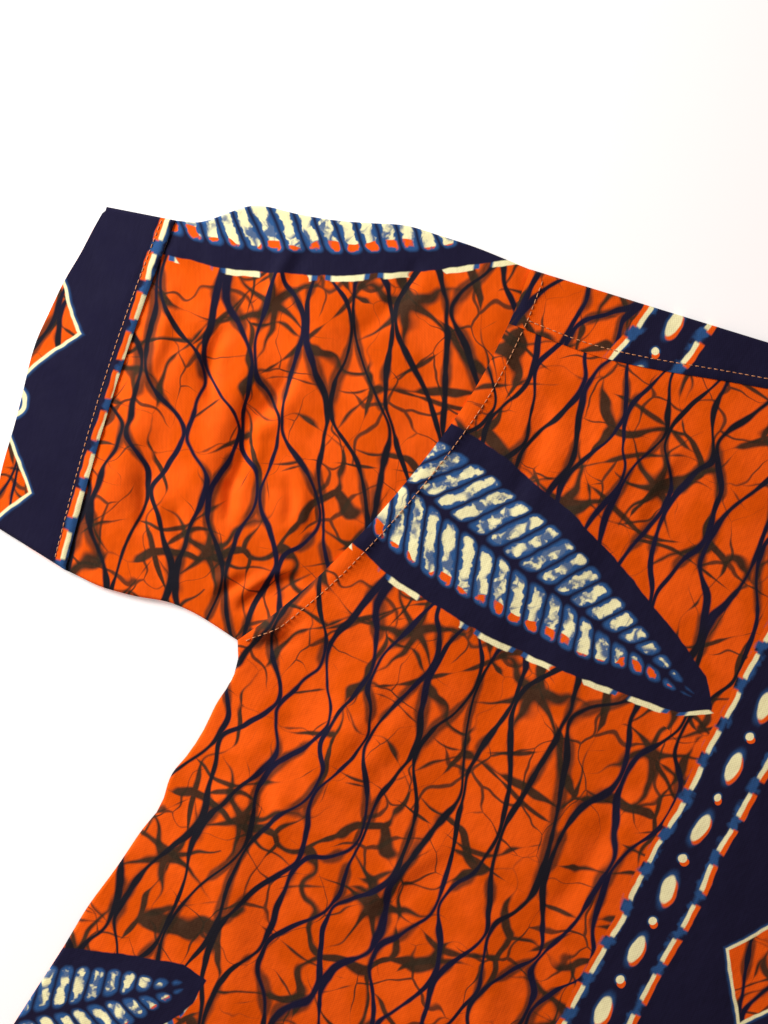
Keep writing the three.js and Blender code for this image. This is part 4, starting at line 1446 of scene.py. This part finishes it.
class SHIRT_OT_bands(bpy.types.Operator):
    """Two sleeve bands, folded double, lapping the sleeves' ends"""

    bl_idname = "shirt.bands"
    bl_label = "Sleeve bands"

    def execute(self, context):
        cloth, _ = settings(context)
        for mirror, side in ((-1, "right"), (1, "left")):
            grid = tube_grid(
                band_seam, cuff,
                lambda share: mix(BAND_TOP, CUFF_TOP, share[:, None]),
                lambda share: mix(BAND_UNDER, CUFF_UNDER, share[:, None]),
                steps=24, across=92, radius=LAP_RADIUS)
            patches = tube_patches(grid, LAP_RADIUS, band_height, mirror, BAND_CUTS[mirror])
            lay_cloth(f"{side}_band", f"{side}_sleeve_band", patches, cloth,
                      doubled=True)
        return {"FINISHED"}


class SHIRT_OT_binding(bpy.types.Operator):
    """Binding folded over the neck's edge and the slit's"""

    bl_idname = "shirt.binding"
    bl_label = "Neck binding"

    def execute(self, context):
        cloth, _ = settings(context)
        out = np.linspace(0, BINDING_REACH, BINDING_STEPS + 1)
        edge, middle = BINDING_RISE
        crown = edge + middle * np.sqrt(np.clip(1 - (2 * even(BINDING_STEPS) - 1) ** 4, 0, 1))
        front, back = binding_plan(out)
        patches = []
        for mirror in (1, -1):
            points = skin(front, UPPER, LAP_RADIUS, lambda x, y: top_height(x, y) + LAP_RISE, mirror)
            points[..., 2] += np.where(front["inset"] > LAP_RADIUS, crown - LAP_RISE, 0)
            patches.append((points, binding_spots(points, out), UPPER))
            points = skin(back, LOWER, LAP_RADIUS, top_height, mirror)
            patches.append((points, binding_spots(points, out), LOWER))
        lay_cloth("binding", "neck_binding", patches, cloth,
                  doubled=True)
        return {"FINISHED"}


def binding_plan(out):
    """Half of the binding: up the slit and round to the shoulder fold, then on behind the neck."""
    y = neck_edge(np.zeros(len(out)), out, FRONT_NECK_DEPTH)[:, 1]
    slit = plan(SLIT_HALF + out, mix(SLIT_END_Y - out, y, even(BINDING_ROWS["slit"])[:, None]))
    foot = plan(mix(0, SLIT_HALF + out, even(BINDING_ROWS["foot"])[:-1, None]), SLIT_END_Y - out)
    drops = TURNS[::-1, None] * LAP_RADIUS
    shares = np.concatenate([
        np.tile(np.linspace(*BINDING_SPAN, BINDING_ROWS["neck"])[:, None], (1, len(out))),
        neck_share(np.tile(drops, (1, len(out))), out, FRONT_NECK_DEPTH),
    ])
    round_neck = neck_edge(shares, out, FRONT_NECK_DEPTH)
    points = np.concatenate([foot, slit, round_neck])
    inset = np.full(points.shape[:-1], FLAT)
    inset[-EDGE_STEPS:] = drops
    front = places(points, inset, SHOULDER_WAY)
    drops = drops[::-1]
    shares = np.concatenate([
        neck_share(np.tile(drops, (1, len(out))), out, BACK_NECK_DEPTH),
        np.tile(np.linspace(BACK_NECK_START, 0, BINDING_ROWS["behind"])[:, None], (1, len(out))),
    ])
    points = neck_edge(shares, out, BACK_NECK_DEPTH)
    points[-1, :, 0] = 0
    inset = np.full(points.shape[:-1], FLAT)
    inset[:EDGE_STEPS] = drops
    return front, places(points, inset, SHOULDER_WAY)


def binding_spots(points, out):
    """A strip cut along the bolt from the plain edge of the print's navy field."""
    return plan(BINDING_CUT + out, length_along(points[:, BINDING_STEPS // 2])[:, None])


def length_along(path):
    """Length of a path up to each of its points."""
    return np.concatenate([[0], np.cumsum(np.linalg.norm(np.diff(path, axis=0), axis=-1))])


def stitch_line(path, height, pitch):
    """Centres and ways of stitches along a plan path, on a surface."""
    length = length_along(path)
    count = int(length[-1] / pitch)
    at = (np.arange(count) + 0.5) * length[-1] / count

    def point(at):
        x, y = (np.interp(at, length, path[:, i]) for i in (0, 1))
        return np.column_stack([x, y, height(x, y)])

    return settle(point(at)), unit(point(at + STITCH_SIGHT) - point(at - STITCH_SIGHT))


def binding_top(x, y):
    """Height of the binding where its stitches lie."""
    return top_height(x, y) + BINDING_CROWN


def stitch_paths(mirror):
    """Plan paths of the visible rows of stitches on one half, each with the surface it lies on."""
    y = np.linspace(-0.6 - RADIUS, UNDERARM[1] + 1.6, PATH_POINTS["armhole"])
    arm = plan(armhole_x(y) - armhole_stitch(y), y)
    on_yoke = arm[:, 1] > yoke_front_y(arm[:, 0])
    x = np.linspace(*YOKE_ROW, PATH_POINTS["yoke"])
    yoke = plan(x, yoke_front_y(x) + YOKE_STITCH)
    y = np.linspace(BAND_TOP[1] - 3, BAND_UNDER[1] + 3, PATH_POINTS["band"])
    band = plan(band_seam_x(y) + BAND_STITCH, y)
    x = np.linspace(0, SIDE_SEAM[0][1] - 4, PATH_POINTS["hem"])
    hem = plan(x, hem_y(x) + HEM_STITCH)
    turn = np.linspace(*NECK_ROW, PATH_POINTS["neck"])
    neck = neck_edge(turn, BINDING_WIDTH - BINDING_STITCH, FRONT_NECK_DEPTH)
    y = np.linspace(SLIT_END_Y - 5, neck[0, 1], PATH_POINTS["slit"])
    slit = plan(SLIT_HALF + BINDING_WIDTH - BINDING_STITCH, y)
    rows = [
        (arm[~on_yoke], front_height), (arm[on_yoke], yoke_height), (yoke, yoke_height), (band, band_height),
        (hem, front_height), (neck, binding_top), (slit, binding_top),
    ]
    return [(path * [mirror, 1], height) for path, height in rows]


class SHIRT_OT_stitches(bpy.types.Operator):
    """Topstitching at the armholes, yoke, sleeve bands, hem, neck and slit"""

    bl_idname = "shirt.stitches"
    bl_label = "Stitches"

    def execute(self, context):
        cloth, _ = settings(context)
        draw = np.random.default_rng(5)
        centres, ways = [], []
        for mirror in (1, -1):
            for path, height in stitch_paths(mirror):
                centre, way = stitch_line(path, height, cloth.stitch_pitch)
                centres.append(centre)
                ways.append(way)
        centre, way = np.concatenate(centres), np.concatenate(ways)
        turn = draw.normal(0, STITCH_SWAY, len(way))
        way = np.stack([way[:, 0] - turn * way[:, 1], way[:, 1] + turn * way[:, 0], way[:, 2]], -1)
        side = unit(np.stack([-way[:, 1], way[:, 0], np.zeros(len(way))], -1))
        up = np.cross(way, side)
        length = cloth.stitch_pitch * STITCH_LENGTH * draw.uniform(*STITCH_SPREAD, len(way))
        thick = STITCH_THICK / 2
        verts = []
        for along, swell, lift in STITCH_RINGS:
            for k in range(STITCH_SIDES):
                angle = 2 * math.pi * k / STITCH_SIDES
                out = side * (thick * swell * math.cos(angle))
                rise = up * (thick * (swell * math.sin(angle) + lift) + STITCH_LIFT)
                verts.append(centre + way * (along * length)[:, None] + out + rise)
        verts = np.stack(verts, 1)
        mesh = bpy.data.meshes.new("topstitching")
        mesh.from_pydata(to_frame(verts.reshape(-1, 3)).tolist(), [], stitch_faces(len(centre)))
        rework(mesh, lambda shell: bmesh.ops.recalc_face_normals(shell, faces=shell.faces))
        piece = add_object("topstitching", mesh)
        bpy.ops.object.shade_smooth()
        mesh.materials.append(spun_thread(cloth))
        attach(piece, "root")
        return {"FINISHED"}


def stitch_faces(count):
    """Faces of a number of stitches: quads between their rings, and a cap at each end."""
    ring = list(range(STITCH_SIDES))
    last = (len(STITCH_RINGS) - 1) * STITCH_SIDES
    faces = [
        [first + k, first + (k + 1) % STITCH_SIDES,
         first + STITCH_SIDES + (k + 1) % STITCH_SIDES, first + STITCH_SIDES + k]
        for first in range(0, last, STITCH_SIDES) for k in ring
    ]
    faces += [ring[::-1], [last + k for k in ring]]
    return [[i * (last + STITCH_SIDES) + v for v in face] for i in range(count) for face in faces]


class SHIRT_OT_stage(bpy.types.Operator):
    """Pale floor, soft light from over the shoulder, and the camera above"""

    bl_idname = "shirt.stage"
    bl_label = "Stage"

    def execute(self, context):
        _, stage = settings(context)
        scene = context.scene
        scene.view_settings.view_transform = "Standard"
        bpy.ops.object.select_all(action="DESELECT")
        bpy.ops.mesh.primitive_plane_add(size=FLOOR_SIZE, location=(0, 0, FLOOR_Z))
        floor = context.active_object
        floor.name = "floor"
        bpy.ops.object.transform_apply(location=True, rotation=True, scale=True)
        material = bpy.data.materials.new("matt painted board")
        material.use_nodes = True
        shader = material.node_tree.nodes["Principled BSDF"]
        for socket, value in {
            "Base Color": (*stage.floor, 1), "Roughness": 0.95, "Specular IOR Level": 0.1,
            "Emission Color": (*stage.floor, 1), "Emission Strength": 0.28,
        }.items():
            shader.inputs[socket].default_value = value
        floor.data.materials.append(material)

        world = bpy.data.worlds.new("soft daylight")
        world.use_nodes = True
        background = world.node_tree.nodes["Background"]
        background.inputs["Color"].default_value = linear("#f3d6d0")
        background.inputs["Strength"].default_value = stage.sky
        scene.world = world

        centre = to_frame(VIEW_CENTRE)
        right = np.array([math.cos(stage.turn), math.sin(stage.turn), 0])
        up = np.array([-math.sin(stage.turn), math.cos(stage.turn), 0])
        spot = centre + right * WINDOW_OFF[0] + up * WINDOW_OFF[1] + np.array([0, 0, WINDOW_OFF[2]])
        lamp = add_object("window light", bpy.data.lights.new("window light", "AREA"))
        lamp.data.energy = stage.window
        lamp.data.size = WINDOW_SIZE
        lamp.location = spot
        aim = centre - spot
        tilt, spin = math.atan2(math.hypot(aim[0], aim[1]), -aim[2]), math.atan2(-aim[0], aim[1])
        lamp.rotation_euler = (tilt, 0, spin)

        camera = add_object("camera", bpy.data.cameras.new("camera"))
        camera.data.lens = stage.lens
        camera.data.sensor_width = SENSOR
        camera.location = (centre[0], centre[1], stage.lens * stage.view_height / SENSOR)
        camera.rotation_euler = (0, 0, stage.turn)
        scene.camera = camera
        return {"FINISHED"}


class SHIRT_PT_panel(bpy.types.Panel):
    """Lists the shirt's pieces and settings"""

    bl_label = "Wax Print Shirt"
    bl_idname = "SHIRT_PT_panel"
    bl_space_type = "VIEW_3D"
    bl_region_type = "UI"
    bl_category = "Shirt"

    def draw(self, context):
        for group in settings(context):
            box = self.layout.box()
            for prop in group.__annotations__:
                box.prop(group, prop)
        for operator in OPERATORS:
            self.layout.operator(operator.bl_idname)


OPERATORS = (
    SHIRT_OT_stage, SHIRT_OT_back, SHIRT_OT_front, SHIRT_OT_yoke, SHIRT_OT_sleeves, SHIRT_OT_bands,
    SHIRT_OT_binding, SHIRT_OT_stitches,
)
CLASSES = (ShirtCloth, ShirtStage, *OPERATORS, SHIRT_PT_panel)


def register():
    for each in CLASSES:
        bpy.utils.register_class(each)
    bpy.types.Scene.shirt_cloth = bpy.props.PointerProperty(type=ShirtCloth)
    bpy.types.Scene.shirt_stage = bpy.props.PointerProperty(type=ShirtStage)


def unregister():
    del bpy.types.Scene.shirt_stage
    del bpy.types.Scene.shirt_cloth
    for each in reversed(CLASSES):
        bpy.utils.unregister_class(each)


def main():
    """Builds every piece in order."""
    register()
    for operator in OPERATORS:
        family, name = operator.bl_idname.split(".")
        getattr(getattr(bpy.ops, family), name)()


if __name__ == "__main__":
    main()
